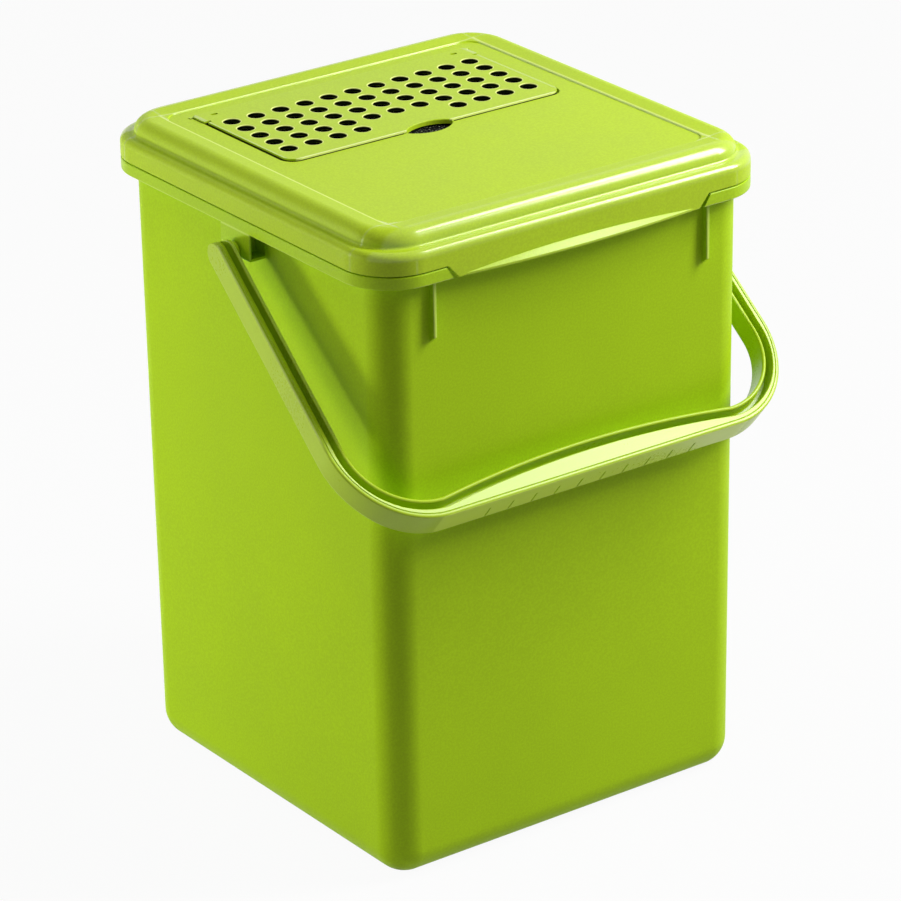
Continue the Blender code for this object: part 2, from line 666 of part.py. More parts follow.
def handle_stations():
    """Outer point, inner point and back depth of each section, from the left pivot to the middle of the grip.

    A point is (x, t), with t the distance from the pivot along the arm.
    """
    front = ARM_DEPTH / 2
    arm_back = ARM_DEPTH / 2
    grip_back = GRIP_DEPTH - front
    inner_end_x = ARM_INNER_X + ARM_SPLAY
    outer_end_x = inner_end_x + ARM_WIDTH
    stations = [((-(ARM_INNER_X + ARM_WIDTH), 0.0), (-ARM_INNER_X, 0.0), arm_back)]
    for step in range(BEND_STEPS + 1):
        angle = step / BEND_STEPS * math.pi / 2
        outer = (
            -(BEND_X + (outer_end_x - BEND_X) * math.cos(angle)),
            ARM_LENGTH + (GRIP_OUTER - ARM_LENGTH) * math.sin(angle),
        )
        inner = (
            -(BEND_X + (inner_end_x - BEND_X) * math.cos(angle)),
            INNER_BEND_START + (grip_inner(BEND_X) - INNER_BEND_START) * math.sin(angle),
        )
        share = step / BEND_STEPS
        blend = share * share * (3 - 2 * share)
        stations.append((outer, inner, arm_back + (grip_back - arm_back) * blend))
    for step in range(1, GRIP_STEPS + 1):
        x = -BEND_X * (1 - step / GRIP_STEPS)
        stations.append(((x, GRIP_OUTER), (x, grip_inner(x)), grip_back))
    return stations


def along(outer, inner, distance):
    """The point at a distance from the inner edge towards the outer edge."""
    start, end = Vector(inner), Vector(outer)
    return start + (end - start).normalized() * distance


def sweep_sections(sections):
    """A solid through four-sided sections, from the left arm to the middle, mirrored to the right.

    A section is a list of (x, t, height), with height towards the handle's front face.
    """
    bm = loft([[(x, -t, height) for x, t, height in section] for section in sections], cap_first=True)
    everything = list(bm.verts) + list(bm.edges) + list(bm.faces)
    bmesh.ops.mirror(bm, geom=everything, axis="X", merge_dist=MERGE)
    bmesh.ops.recalc_face_normals(bm, faces=bm.faces)
    return bm


def handle_body():
    front = ARM_DEPTH / 2
    sections = []
    for outer, inner, back in handle_stations():
        sections.append([(*outer, front), (*outer, -back), (*inner, -back), (*inner, front)])
    return sweep_sections(sections)


def handle_groove():
    """The groove between the grip's broad face and the thin inner flange, open at the arms' ends."""
    front = ARM_DEPTH / 2
    stations = handle_stations()
    outer, inner, back = stations[0]
    start = ((outer[0], -ARM_DEPTH), (inner[0], -ARM_DEPTH), back)
    sections = []
    for outer, inner, _ in [start] + stations:
        near = along(outer, inner, FLANGE_WIDTH)
        far = along(outer, inner, FLANGE_WIDTH + GROOVE_WIDTH)
        floor = front - GROOVE_DEPTH
        sections.append([(*far, front + CUT_OVER), (*far, floor), (*near, floor), (*near, front + CUT_OVER)])
    return sweep_sections(sections)


def handle_hollow():
    """The hollow in the back of the grip, which keeps its wall thin."""
    front = ARM_DEPTH / 2
    sections = []
    for outer, inner, back in handle_stations()[BEND_STEPS + 2:]:
        near = along(outer, inner, FLANGE_WIDTH + GROOVE_WIDTH + HOLLOW_WALL)
        far = along(inner, outer, HOLLOW_WALL)
        if (far - Vector(inner)).length - (near - Vector(inner)).length < HOLLOW_WALL / 2:
            continue
        roof = front - HOLLOW_WALL
        sections.append([(*far, roof), (*far, -back - CUT_OVER), (*near, -back - CUT_OVER), (*near, roof)])
    return sweep_sections(sections)


def handle_rest_angle():
    """How far the arms slope down in front when the grip's inner back edge meets the front wall."""
    back = GRIP_DEPTH - ARM_DEPTH / 2
    inner = grip_inner(0.0)
    reach = math.hypot(inner, back)
    wall = wall_half(PIVOT_Z - inner * math.sin(math.radians(40)), HALF_D) + TOUCH_GAP
    return math.acos((wall + PIVOT_Y) / reach) - math.atan2(back, inner)


def add_axis(name, y, z, group, parent=None):
    """An empty on a hinge's axis."""
    axis = bpy.data.objects.new(name, None)
    axis.empty_display_type = "SINGLE_ARROW"
    axis.empty_display_size = RIM_REACH
    group.objects.link(axis)
    axis.location = (0.0, y, z)
    if parent:
        axis.parent = parent
        axis.matrix_parent_inverse = Matrix.Translation(parent.location).inverted()
    return axis


def hang(item, axis, y, z):
    """Parents a piece to its hinge's empty and leaves it where it is."""
    item.parent = axis
    item.matrix_parent_inverse = Matrix.Translation((0.0, y, z)).inverted()


def make_handle(group, material):
    handle = add_object("handle", handle_body(), group, material)
    for side, name in ((-1, "left"), (1, "right")):
        inner, outer = side * ARM_INNER_X, side * (ARM_INNER_X + ARM_WIDTH)
        join(handle, f"arm_end_{name}", cylinder_x(ARM_DEPTH / 2, inner, outer, 0.0, 0.0))
    cut(handle, "handle_groove", handle_groove())
    cut(handle, "grip_hollow", handle_hollow())
    for side, name in ((-1, "left"), (1, "right")):
        root = side * (ARM_INNER_X + FLANGE_WIDTH / 2)
        join(handle, f"boss_{name}", cylinder_x(BOSS_RADIUS, root, side * (RIM_W + TOUCH_GAP), 0.0, 0.0))
        join(handle, f"pin_{name}", cylinder_x(PIN_RADIUS, root, side * (RIM_W - PIN_LENGTH), 0.0, 0.0))
    handle.location = (0.0, PIVOT_Y, PIVOT_Z)
    handle.rotation_euler = (handle_rest_angle(), 0.0, 0.0)
    return handle


def main():
    clear_scene()
    group = make_collection(COLLECTION)
    make_collection(CUTTER_COLLECTION)
    green = (0.47, 0.67, 0.05)
    make_bucket(group, plastic("bucket_green", green, 0.38))
    lid = make_lid(group, plastic("lid_green", (0.52, 0.72, 0.08), 0.32))
    cover = make_filter_cover(group, plastic("cover_green", (0.50, 0.70, 0.08), 0.36))
    pad = make_carbon_filter(group, plastic("carbon_black", (0.015, 0.015, 0.015), 0.85))
    make_handle(group, plastic("handle_green", (0.50, 0.70, 0.07), 0.30))
    lid_axis = add_axis("lid_axis", HINGE_Y, HINGE_Z, group)
    cover_axis_empty = add_axis("cover_axis", *cover_axis(), group, parent=lid_axis)
    hang(lid, lid_axis, HINGE_Y, HINGE_Z)
    hang(pad, lid_axis, HINGE_Y, HINGE_Z)
    hang(cover, cover_axis_empty, *cover_axis())
    print("handle rest angle", round(math.degrees(handle_rest_angle()), 3), "pivot", PIVOT_Y, PIVOT_Z)
    print("lid hinge", HINGE_Y, HINGE_Z, "cover hinge", *cover_axis(), "crest", CREST_Z, "panel", PANEL_Z)


main()
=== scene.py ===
"""Kitchen compost caddy: detailed pieces, finishes and studio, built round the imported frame.

Metres, +Z up. The origin is the centre of the bucket's base, the front is -Y, and +X is to the right seen
from the front. Every new piece is a closed shell that stands for the frame's node of the same part.
"""

import json
import math
from collections import namedtuple
from functools import partial

import bmesh
import bpy
from bpy.props import FloatProperty, FloatVectorProperty, IntProperty, PointerProperty
from mathutils import Matrix, Vector, noise


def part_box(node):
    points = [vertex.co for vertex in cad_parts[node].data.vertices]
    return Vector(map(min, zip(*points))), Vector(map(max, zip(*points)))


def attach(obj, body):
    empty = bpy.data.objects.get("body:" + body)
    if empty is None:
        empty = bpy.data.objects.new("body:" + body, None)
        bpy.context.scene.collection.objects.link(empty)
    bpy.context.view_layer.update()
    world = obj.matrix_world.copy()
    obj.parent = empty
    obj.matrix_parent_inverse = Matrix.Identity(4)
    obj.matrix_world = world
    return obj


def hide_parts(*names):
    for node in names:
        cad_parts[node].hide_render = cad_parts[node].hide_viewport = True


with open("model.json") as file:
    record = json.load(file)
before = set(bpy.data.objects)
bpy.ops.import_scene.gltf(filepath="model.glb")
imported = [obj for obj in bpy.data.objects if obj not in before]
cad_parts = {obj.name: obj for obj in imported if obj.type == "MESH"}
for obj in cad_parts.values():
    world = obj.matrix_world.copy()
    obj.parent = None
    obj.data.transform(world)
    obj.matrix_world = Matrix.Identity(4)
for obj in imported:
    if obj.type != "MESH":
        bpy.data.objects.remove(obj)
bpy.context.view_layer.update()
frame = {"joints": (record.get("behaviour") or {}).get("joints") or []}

bl_info = {
    "name": "Kitchen Compost Caddy",
    "version": (1, 0, 0),
    "blender": (4, 5, 0),
    "location": "3D View > Sidebar > Caddy",
    "description": "Builds the moulded shells, handle, filter and studio of a kitchen compost caddy",
    "category": "Add Mesh",
}

MM = 0.001
SHARP = math.radians(32)
MERGE = 0.000005
ROUND = {"offset_type": "OFFSET", "profile": 0.5, "material": -1}
OVERLAP = 0.8 * MM  # how far a joined form reaches into its neighbour
PAST = 2.0 * MM  # how far a cutter reaches past the surface that it opens


def hinge_place(name):
    """Y and z of a hinge's axis, from the record."""
    for joint in frame["joints"]:
        if joint["name"] == name:
            return joint["pos_m"][1], joint["pos_m"][2]
    raise RuntimeError(f"the record has no joint named {name}")


BUCKET_LOW, BUCKET_HIGH = (Vector(corner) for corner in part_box("bucket"))
LID_LOW, LID_HIGH = (Vector(corner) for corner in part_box("lid"))
COVER_LOW, COVER_HIGH = (Vector(corner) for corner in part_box("filter_cover"))
PAD_LOW, PAD_HIGH = (Vector(corner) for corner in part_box("carbon_filter"))
HANDLE_LOW = Vector(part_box("handle")[0])
HINGE_Y, HINGE_Z = hinge_place("lid_hinge")
COVER_AXIS_Y, COVER_AXIS_Z = hinge_place("filter_cover_hinge")
PIVOT_Y, PIVOT_Z = hinge_place("handle_swing")

# Bucket
RIM_W = BUCKET_HIGH.x
RIM_D = -BUCKET_LOW.y
RIM_TOP = BUCKET_HIGH.z
RIM_REACH = 7.5 * MM
RIM_DROP = 5.2 * MM
RIM_CORNER = 22.9 * MM
HALF_W = RIM_W - RIM_REACH
HALF_D = RIM_D - RIM_REACH
WALL = 2.2 * MM
WALL_DRAFT = 1.1 * MM
WALL_CORNER = 13.5 * MM
BASE_FILLET = 13.0 * MM
RIB_DEPTH, RIB_WIDTH, RIB_REACH, RIB_GAP = 2.8 * MM, 1.6 * MM, 27.4 * MM, 2.5 * MM

# Lid section, from the skirt inwards
CREST_Z = LID_HIGH.z
SKIRT_Z = RIM_TOP + 0.4 * MM
SHOULDER_Z = SKIRT_Z + 9.1 * MM
SKIRT_ROUND = 3.0 * MM
BORDER_INSET = 5.4 * MM
BORDER_ROUND = 6.0 * MM
BORDER_INNER = BORDER_INSET + BORDER_ROUND + 7.3 * MM
BORDER_FALL = 0.8 * MM
PANEL_STEP = 0.6 * MM
PANEL_Z = CREST_Z - BORDER_FALL - PANEL_STEP
LID_CORNER_SHARE = 0.80
LID_WALL = 2.2 * MM
PLUG_GAP, PLUG_WALL, PLUG_DEPTH = 0.9 * MM, 1.6 * MM, 8.5 * MM

# Grip lip at the front of the lid
LIP_TOP = 130.0 * MM
LIP_BOTTOM = 118.5 * MM
LIP_DROP = 5.7 * MM
LIP_GAP = 1.2 * MM
FLARE = -RIM_D - LID_LOW.y
FLARE_WIDTH = 112.0 * MM
FLARE_HEIGHT = 3.3 * MM

# Filter cover and the tray below it
COVER_TOP = COVER_HIGH.z
COVER_THICK = 2.0 * MM
COVER_UNDER = COVER_TOP - COVER_THICK
COVER_FRONT = COVER_LOW.y
COVER_BACK = COVER_HIGH.y
COVER_HALF = 68.5 * MM
COVER_GAP = 0.6 * MM
COVER_CORNER = 6.0 * MM
COVER_TRIM = 0.5 * MM
SHOULDER_Y = 62.0 * MM
HOLE_PITCH = (12.0 * MM, 10.2 * MM)
HOLE_MIDDLE_Y = 35.4 * MM
HOLE_COLUMNS, HOLE_ROWS = 11, 5
NOTCH_WIDTH, NOTCH_BACK, NOTCH_FRONT = 23.0 * MM, 4.6 * MM, 5.4 * MM
TRAY_WALL = 2.0 * MM
TRAY_FLOOR = 1.8 * MM
WELL_TOP = COVER_UNDER - 0.3 * MM
WELL_FLOOR = PAD_LOW.z - 0.3 * MM
PAD_GAP = 0.5 * MM
PAD_LAYERS = 6
FOAM_SCALES = (900.0, 260.0)
FOAM_SKIN = 1.2 * MM
SLOT_COLUMNS, SLOT_ROWS = 8, 4
SLOT_SIZE = 11.0 * MM
SLOT_PITCH = (15.5 * MM, 16.0 * MM)
PEG_RADIUS, PEG_BORE = 0.7 * MM, 1.0 * MM

# Rear hinge of the lid
KNUCKLE_X = 45.0 * MM
KNUCKLE_HALF = 7.0 * MM
KNUCKLE_RADIUS = 3.3 * MM
KNUCKLE_BORE = 2.1 * MM
KNUCKLE_MOUTH = 1.5 * MM
EAR_GAP = 0.4 * MM
EAR_WIDTH = 3.0 * MM
HINGE_PIN = 1.8 * MM

# Handle
PIN_RADIUS = 2.2 * MM
PIN_CLEARANCE = 0.3 * MM
PIN_TIP = RIM_W - 6.0 * MM
BOSS_RADIUS = 4.0 * MM
ARM_DEPTH = 10.4 * MM
ARM_WIDTH = 7.8 * MM
ARM_INNER = RIM_W + 2.15 * MM
ARM_SPLAY = 2.44 * MM
ARM_LENGTH = 97.0 * MM
BEND_X = ARM_INNER + ARM_SPLAY - 30.0 * MM
INNER_BEND_START = 99.0 * MM
GRIP_OUTER = 136.4 * MM
GRIP_WIDTH = 13.5 * MM
GRIP_END_WIDTH = 8.4 * MM
GRIP_DEPTH = 13.4 * MM
FLANGE = 1.7 * MM
GROOVE = 2.8 * MM
GROOVE_DEPTH = 6.7 * MM
HOLLOW_WALL = 1.8 * MM
LINE_INSET = 1.7 * MM
LUG_HALF = 10.2 * MM
LUG_DROP = 16.6 * MM
END_STEPS, ARM_STEPS, BEND_STEPS, GRIP_STEPS = 12, 12, 32, 24


# Mesh tools

Ring = namedtuple("Ring", "half_w half_d corner z")


def shrunk(ring, inset, z):
    """The ring moved in by an inset, at another height."""
    return Ring(ring.half_w - inset, ring.half_d - inset, ring.corner - inset, z)


def quarter(steps):
    """Sine and cosine round a quarter turn, ends included."""
    turns = [step / steps * math.pi / 2 for step in range(steps + 1)]
    return [(math.sin(turn), math.cos(turn)) for turn in turns]


def edge_round(ring_at, inset, z, reach, rise, steps, level):
    """Rings round an edge whose square corner is at inset and z.

    ring_at makes a ring from its inset and height. level says that the section meets the round level and
    leaves it upright.
    """
    turns = [(1 - s, 1 - c) if level else (1 - c, 1 - s) for s, c in quarter(steps)]
    return [ring_at(inset + reach * across, z + rise * up) for across, up in turns]


def outward(bm):
    """The same shape with its faces turned outwards."""
    bmesh.ops.recalc_face_normals(bm, faces=bm.faces)
    return bm


def new_verts(geometry):
    return [item for item in geometry if isinstance(item, bmesh.types.BMVert)]


def new_edges(geometry):
    return [item for item in geometry if isinstance(item, bmesh.types.BMEdge)]


def extrude(bm, edges):
    """The vertices and edges of a loop that is extruded from another."""
    moved = bmesh.ops.extrude_edge_only(bm, edges=edges)["geom"]
    return new_verts(moved), new_edges(moved)


def rounded_plate(bm, ring, segments):
    """A flat plate with rounded corners, and its outer edges."""
    place = Matrix.Translation((0.0, 0.0, ring.z)) @ Matrix.Diagonal((ring.half_w, ring.half_d, 1.0, 1.0))
    made = bmesh.ops.create_grid(bm, x_segments=1, y_segments=1, size=1.0, matrix=place)
    bmesh.ops.bevel(bm, geom=made["verts"], affect="VERTICES", offset=ring.corner, segments=segments, **ROUND)
    return [edge for edge in bm.edges if edge.is_boundary]


def extrude_ring(bm, edges, was, now):
    """Extrudes a rounded ring and moves each of its quarters to the next ring."""
    verts, edges = extrude(bm, edges)
    growth = now.corner / was.corner
    signs = [(side_x, side_y) for side_x in (-1, 1) for side_y in (-1, 1)]
    corners = [[v for v in verts if v.co.x * sign[0] > 0 and v.co.y * sign[1] > 0] for sign in signs]
    for (side_x, side_y), corner in zip(signs, corners):
        start = Vector((side_x * (was.half_w - was.corner), side_y * (was.half_d - was.corner), was.z))
        end = Vector((side_x * (now.half_w - now.corner), side_y * (now.half_d - now.corner), now.z))
        grow = Matrix.Diagonal((growth, growth, 1.0, 1.0))
        step = Matrix.Translation(end) @ grow @ Matrix.Translation(-start)
        bmesh.ops.transform(bm, matrix=step, verts=corner)
    return edges


def ring_shell(rings, segments):
    """A closed shell through rings, with a flat plate at its first and last ring."""
    bm = bmesh.new()
    edges = rounded_plate(bm, rings[0], segments)
    for was, now in zip(rings, rings[1:]):
        edges = extrude_ring(bm, edges, was, now)
    bmesh.ops.edgeloop_fill(bm, edges=edges)
    return outward(bm)


def ring_band(rings, segments):
    """A shell through rings whose last ring closes on its first."""
    bm = bmesh.new()
    edges = rounded_plate(bm, rings[0], segments)
    bmesh.ops.delete(bm, geom=list(bm.faces), context="FACES_ONLY")
    for was, now in zip(rings, rings[1:] + rings[:1]):
        edges = extrude_ring(bm, edges, was, now)
    bmesh.ops.remove_doubles(bm, verts=bm.verts, dist=MERGE)
    return outward(bm)


def bevel_edges(bm, edges, radius, segments=3):
    bmesh.ops.bevel(
        bm, geom=edges, affect="EDGES", offset=radius, segments=segments, clamp_overlap=True, **ROUND
    )


def block(x, y, z, radius=0.0, wanted=None):
    """A box between pairs of x, y and z; wanted says which of its edges are rounded."""
    low, high = (Vector(map(end, (x, y, z))) for end in (min, max))
    bm = bmesh.new()
    place = Matrix.Translation((low + high) / 2) @ Matrix.Diagonal((*(high - low), 1.0))
    bmesh.ops.create_cube(bm, size=1.0, matrix=place)
    if radius:
        bevel_edges(bm, [edge for edge in bm.edges if wanted is None or wanted(edge)], radius)
    return bm


def middle(edge):
    return (edge.verts[0].co + edge.verts[1].co) / 2


def is_upright(edge):
    return abs(edge.verts[0].co.z - edge.verts[1].co.z) > MERGE


def extruded(points, step):
    """A flat outline raised into a solid."""
    bm = bmesh.new()
    face = bm.faces.new([bm.verts.new(point) for point in points])
    moved = bmesh.ops.extrude_face_region(bm, geom=[face])["geom"]
    bmesh.ops.translate(bm, vec=step, verts=new_verts(moved))
    if face.is_valid:
        bmesh.ops.delete(bm, geom=[face], context="FACES_ONLY")
    loose = [edge for edge in bm.edges if edge.is_boundary]
    if loose:
        bmesh.ops.edgeloop_fill(bm, edges=loose)
    return outward(bm)


def rod(radius, x_from, x_to, y, z, edge=0.0, sides=48):
    """A cylinder along X, its ends rounded."""
    bm = bmesh.new()
    place = Matrix.Translation(((x_from + x_to) / 2, y, z)) @ Matrix.Rotation(math.pi / 2, 4, "Y")
    sizes = {"radius1": radius, "radius2": radius, "depth": abs(x_to - x_from)}
    bmesh.ops.create_cone(bm, cap_ends=True, segments=sides, matrix=place, **sizes)
    if edge:
        rims = [item for item in bm.edges if abs(item.verts[0].co.x - item.verts[1].co.x) < MERGE]
        bevel_edges(bm, rims, edge)
    return bm


def turned(profile, sides):
    """An upright round solid through a profile of (radius, z) points."""
    bm = bmesh.new()
    (radius, low), *rest = profile
    place = Matrix.Translation((0.0, 0.0, low))
    bmesh.ops.create_circle(bm, cap_ends=True, segments=sides, radius=radius, matrix=place)
    edges = list(bm.edges)
    for (was_r, was_z), (r, z) in zip(profile, rest):
        verts, edges = extrude(bm, edges)
        bmesh.ops.scale(bm, vec=(r / was_r, r / was_r, 1.0), verts=verts)
        bmesh.ops.translate(bm, vec=(0.0, 0.0, z - was_z), verts=verts)
    bmesh.ops.edgeloop_fill(bm, edges=edges)
    return bm


def mesh_of(bm, name):
    mesh = bpy.data.meshes.new(name)
    bm.to_mesh(mesh)
    bm.free()
    return mesh


def linked(name, data):
    """A new object in the scene."""
    item = bpy.data.objects.new(name, data)
    bpy.context.scene.collection.objects.link(item)
    return item


def join(bm):
    return "UNION", bm


def cut(bm):
    return "DIFFERENCE", bm


def carved(bm, steps):
    """Applies Booleans in order and returns the finished mesh."""
    base = linked("base", mesh_of(bm, "base"))
    tools = []
    for operation, tool_bm in steps:
        tool = linked("tool", mesh_of(outward(tool_bm), "tool"))
        tools.append(tool)
        step = base.modifiers.new("step", "BOOLEAN")
        step.operation = operation
        step.solver = "EXACT"
        step.object = tool
    graph = bpy.context.evaluated_depsgraph_get()
    mesh = bpy.data.meshes.new_from_object(base.evaluated_get(graph))
    for item in (base, *tools):
        old = item.data
        bpy.data.objects.remove(item, do_unlink=True)
        bpy.data.meshes.remove(old)
    if not mesh.polygons:
        raise RuntimeError("a Boolean left nothing")
    return mesh


def finish_piece(name, mesh, material, body, node):
    """Shades a finished mesh, and puts it on its body in place of its node."""
    bm = bmesh.new()
    bm.from_mesh(mesh)
    bmesh.ops.triangulate(bm, faces=[face for face in bm.faces if len(face.verts) > 4])
    bmesh.ops.remove_doubles(bm, verts=bm.verts, dist=MERGE)
    bmesh.ops.dissolve_degenerate(bm, edges=bm.edges, dist=MERGE)
    # Some faces come out of the steps above twice.
    single = {frozenset(face.verts): face for face in bm.faces}
    doubled = [face for face in bm.faces if single[frozenset(face.verts)] != face]
    bmesh.ops.delete(bm, geom=doubled, context="FACES_ONLY")
    slivers = [edge for edge in bm.edges if edge.is_boundary]
    if slivers:
        bmesh.ops.holes_fill(bm, edges=slivers, sides=4)
        outward(bm)
    bm.to_mesh(mesh)
    bm.free()
    mesh.name = name
    mesh.materials.clear()
    mesh.materials.append(material)
    mesh.shade_smooth()
    mesh.set_sharp_from_angle(angle=SHARP)
    item = linked(name, mesh)
    shade = item.modifiers.new("flat faces stay flat", "WEIGHTED_NORMAL")
    shade.keep_sharp = True
    shade.weight = 50
    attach(item, body)
    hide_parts(node)
    return item


# Finishes

class Wire:
    """A socket whose values add Math nodes when they meet an operator."""

    def __init__(self, finish, socket):
        self.finish = finish
        self.socket = socket

    def _math(self, operation, *values):
        return self.finish.add("ShaderNodeMath", {"operation": operation}, dict(enumerate(values)))

    def __add__(self, other):
        return self._math("ADD", self, other)

    __radd__ = __add__

    def __sub__(self, other):
        return self._math("SUBTRACT", self, other)

    def __rsub__(self, other):
        return self._math("SUBTRACT", other, self)

    def __mul__(self, other):
        return self._math("MULTIPLY", self, other)

    __rmul__ = __mul__

    def __pow__(self, other):
        return self._math("POWER", self, other)

    def __abs__(self):
        return self._math("ABSOLUTE", self)

    def over(self, low, high):
        """0 below low, 1 above high, and smooth between."""
        values = {0: self, 1: low, 2: high, 3: 0.0, 4: 1.0}
        return self.finish.add("ShaderNodeMapRange", {"interpolation_type": "SMOOTHSTEP"}, values)

    def past(self, limit, soft):
        """1 beyond a limit, 0 short of it."""
        return self.over(limit - soft, limit + soft)

    def short_of(self, limit, soft):
        return 1 - self.past(limit, soft)

    def between(self, low, high, soft):
        return self.past(low, soft) * self.short_of(high, soft)

    def largest(self, other):
        return self._math("MAXIMUM", self, other)

    def wrapped(self, reach):
        """The value folded into the span from -reach to reach."""
        return self._math("WRAP", self, reach, -reach)


class Nodes:
    """A node tree whose nodes are added one call at a time."""

    def __init__(self, tree):
        self.tree = tree

    def add(self, kind, settings=None, values=None, output=0):
        node = self.tree.nodes.new(kind)
        for key, value in (settings or {}).items():
            setattr(node, key, value)
        for key, value in (values or {}).items():
            self.plug(node.inputs[key], value)
        return Wire(self, node.outputs[output])

    def plug(self, socket, value):
        if isinstance(value, Wire):
            self.tree.links.new(value.socket, socket)
        elif socket.type == "RGBA":
            socket.default_value = (*value, 1.0)
        else:
            socket.default_value = value

    def outputs(self, wire, *names):
        """Further outputs of the node that the wire comes from."""
        return [Wire(self, wire.socket.node.outputs[name]) for name in names]

    def seen(self):
        """1 where the camera, a mirror or glass sees the surface, 0 where it only sends light."""
        path = self.add("ShaderNodeLightPath")
        camera, mirror, glass = self.outputs(path, "Is Camera Ray", "Is Glossy Ray", "Is Transmission Ray")
        return camera.largest(mirror).largest(glass)


class Finish(Nodes):
    """A material and its main shader."""

    def __init__(self, name):
        self.material = bpy.data.materials.new(name)
        self.material.use_nodes = True
        super().__init__(self.material.node_tree)
        self.shader = self.tree.nodes["Principled BSDF"]

    def shade(self, **values):
        for name, value in values.items():
            self.plug(self.shader.inputs[name.replace("_", " ")], value)

    def place(self):
        return self.add("ShaderNodeTexCoord", output="Object")

    def axes(self):
        """The object's X, Y and Z as numbers."""
        return self.outputs(self.add("ShaderNodeSeparateXYZ", values={0: self.place()}), "X", "Y", "Z")

    def noise(self, scale, detail=2.0, roughness=0.5, vector=None):
        values = {"Vector": vector or self.place(), "Scale": scale, "Detail": detail, "Roughness": roughness}
        return self.add("ShaderNodeTexNoise", values=values)

    def mix(self, share, first, second):
        values = {0: share, 6: first, 7: second}
        return self.add("ShaderNodeMix", {"data_type": "RGBA"}, values, output=2)

    def bump(self, height, distance, strength):
        values = {"Height": height, "Distance": distance, "Strength": strength}
        return self.add("ShaderNodeBump", values=values)


def toned(color, level):
    return tuple(min(1.0, channel * level) for channel in color)


def moulded_green(name, color, roughness, grain, specular, gloss=None, dress=None, fleck=0.5, coat=0.8):
    """Satin polypropylene: fine spark-eroded grain, slight mottling and soft handling marks.

    gloss is a function of the finish that returns a mask, 1 where the moulding is polished. The other
    function paints highlights and shade into the tint of some places.
    """
    finish = Finish(name)
    mottle = finish.noise(22.0, 3.0, 0.55)
    cloud = finish.noise(7.0, 1.0, 0.5)
    fine = finish.noise(2300.0, 2.0, 0.6)
    pits = finish.noise(900.0, 2.0, 0.5)
    patches = (mottle * 0.6 + cloud * 0.4).over(0.36, 0.64)
    tint = finish.mix(patches, toned(color, 0.955), toned(color, 1.035))
    flecks = finish.noise(1250.0, 1.0, 0.5).over(0.30, 0.70)
    tint = finish.mix(flecks * fleck, tint, toned(color, 1.10))
    tint = finish.mix((1 - flecks) * fleck, tint, toned(color, 0.90))
    polished = gloss(finish) if gloss else None
    matt = roughness + ((mottle - 0.5) * 0.20 + (pits - 0.5) * 0.12) * fleck
    height = fine * 0.7 + pits * 0.3
    if polished is None:
        finish.shade(Roughness=matt)
    else:
        finish.shade(Roughness=matt * (1 - polished * 0.30), Coat_Weight=polished * coat)
        finish.shade(Coat_Roughness=0.17, Coat_IOR=1.5)
        height = height * (1 - polished * 0.85)
    scuff_run = finish.add(
        "ShaderNodeMapping", {"vector_type": "POINT"},
        {"Vector": finish.place(), "Rotation": (0.35, 0.2, 0.5), "Scale": (260.0, 14.0, 60.0)},
    )
    scuff = finish.noise(1.0, 2.0, 0.5, vector=scuff_run).over(0.70, 0.80)
    tint = finish.mix(scuff * fleck * 0.14, tint, toned(color, 1.25))
    # Painted highlights and shade go into the tint here.
    if dress:
        tint = dress(finish, tint)
    finish.shade(Base_Color=tint, Specular_IOR_Level=specular)
    finish.shade(Normal=finish.bump(height, grain, 0.55))
    return finish.material


def border_gloss(finish):
    """1 on the lid's polished front and back border, the panel's edge and the lip's flare."""
    x, y, z = finish.axes()
    inset_x, inset_y = RIM_W - abs(x), RIM_D - abs(y)
    rounds = inset_y.short_of(BORDER_INSET + BORDER_ROUND, MM) * z.past(SHOULDER_Z - 3.2 * MM, 0.8 * MM)
    edge = (BORDER_INNER - 0.3 * MM, BORDER_INNER + 0.5 * MM, 0.2 * MM)
    flare = y.short_of(-RIM_D - 0.2 * MM, 0.1 * MM) * 0.3
    return rounds.largest(inset_x.between(*edge)).largest(inset_y.between(*edge)).largest(flare)


def wall_gloss(finish):
    """1 on everything that stands out from the bucket's grained walls."""
    x, y, z = finish.axes()
    out, soft = 0.45 * MM, 0.15 * MM
    return abs(x).past(HALF_W + out, soft).largest(abs(y).past(HALF_D + out, soft))


def cover_gloss(finish):
    """1 round the filter cover's front and side edges."""
    x, y, z = finish.axes()
    soft = 0.15 * MM
    return y.short_of(COVER_FRONT + 0.85 * MM, soft).largest(abs(x).past(COVER_HALF - 1.35 * MM, soft))


def painted_panel_highlight(finish, tint):
    """A painted highlight: a paler line painted along the top edge of the step round the lid's panel, where
    the edge catches the light.
    """
    x, y, z = finish.axes()
    inset_x, inset_y = RIM_W - abs(x), RIM_D - abs(y)
    soft = 0.1 * MM
    end = BORDER_INNER - 0.02 * MM
    start_x, start_y = BORDER_INNER - 1.1 * MM, BORDER_INNER - 0.45 * MM
    side = inset_x.between(start_x, end, soft) * inset_y.past(start_y - soft, soft)
    back = inset_y.between(start_y, end, 0.08 * MM) * inset_x.past(start_x - soft, soft)
    above = z.past(PANEL_Z - 0.75 * MM, 0.25 * MM)
    # Paints the highlight line into the lid's tint.
    return finish.mix(side.largest(back) * above * 0.65, tint, (0.76, 0.90, 0.26))


def painted_rim_highlights(finish, tint):
    """Painted highlights: paler lines painted on the flange's lower edge and on the fronts of the ribs, where
    their edges catch the light.
    """
    x, y, z = finish.axes()
    foot = RIM_TOP - RIM_DROP
    inset, soft = 0.8 * MM, 0.1 * MM
    outside = abs(x).past(RIM_W - inset, soft).largest(abs(y).past(RIM_D - inset, soft))
    line = z.between(foot - 0.3 * MM, foot + 0.5 * MM, 0.15 * MM) * outside
    rib = y.short_of(-HALF_D - RIB_DEPTH + 0.225 * MM, 0.175 * MM) * z.short_of(foot - 0.3 * MM, soft)
    # Paints the highlight lines into the bucket's tint.
    return finish.mix(line.largest(rib) * 0.55, tint, (0.70, 0.86, 0.18))


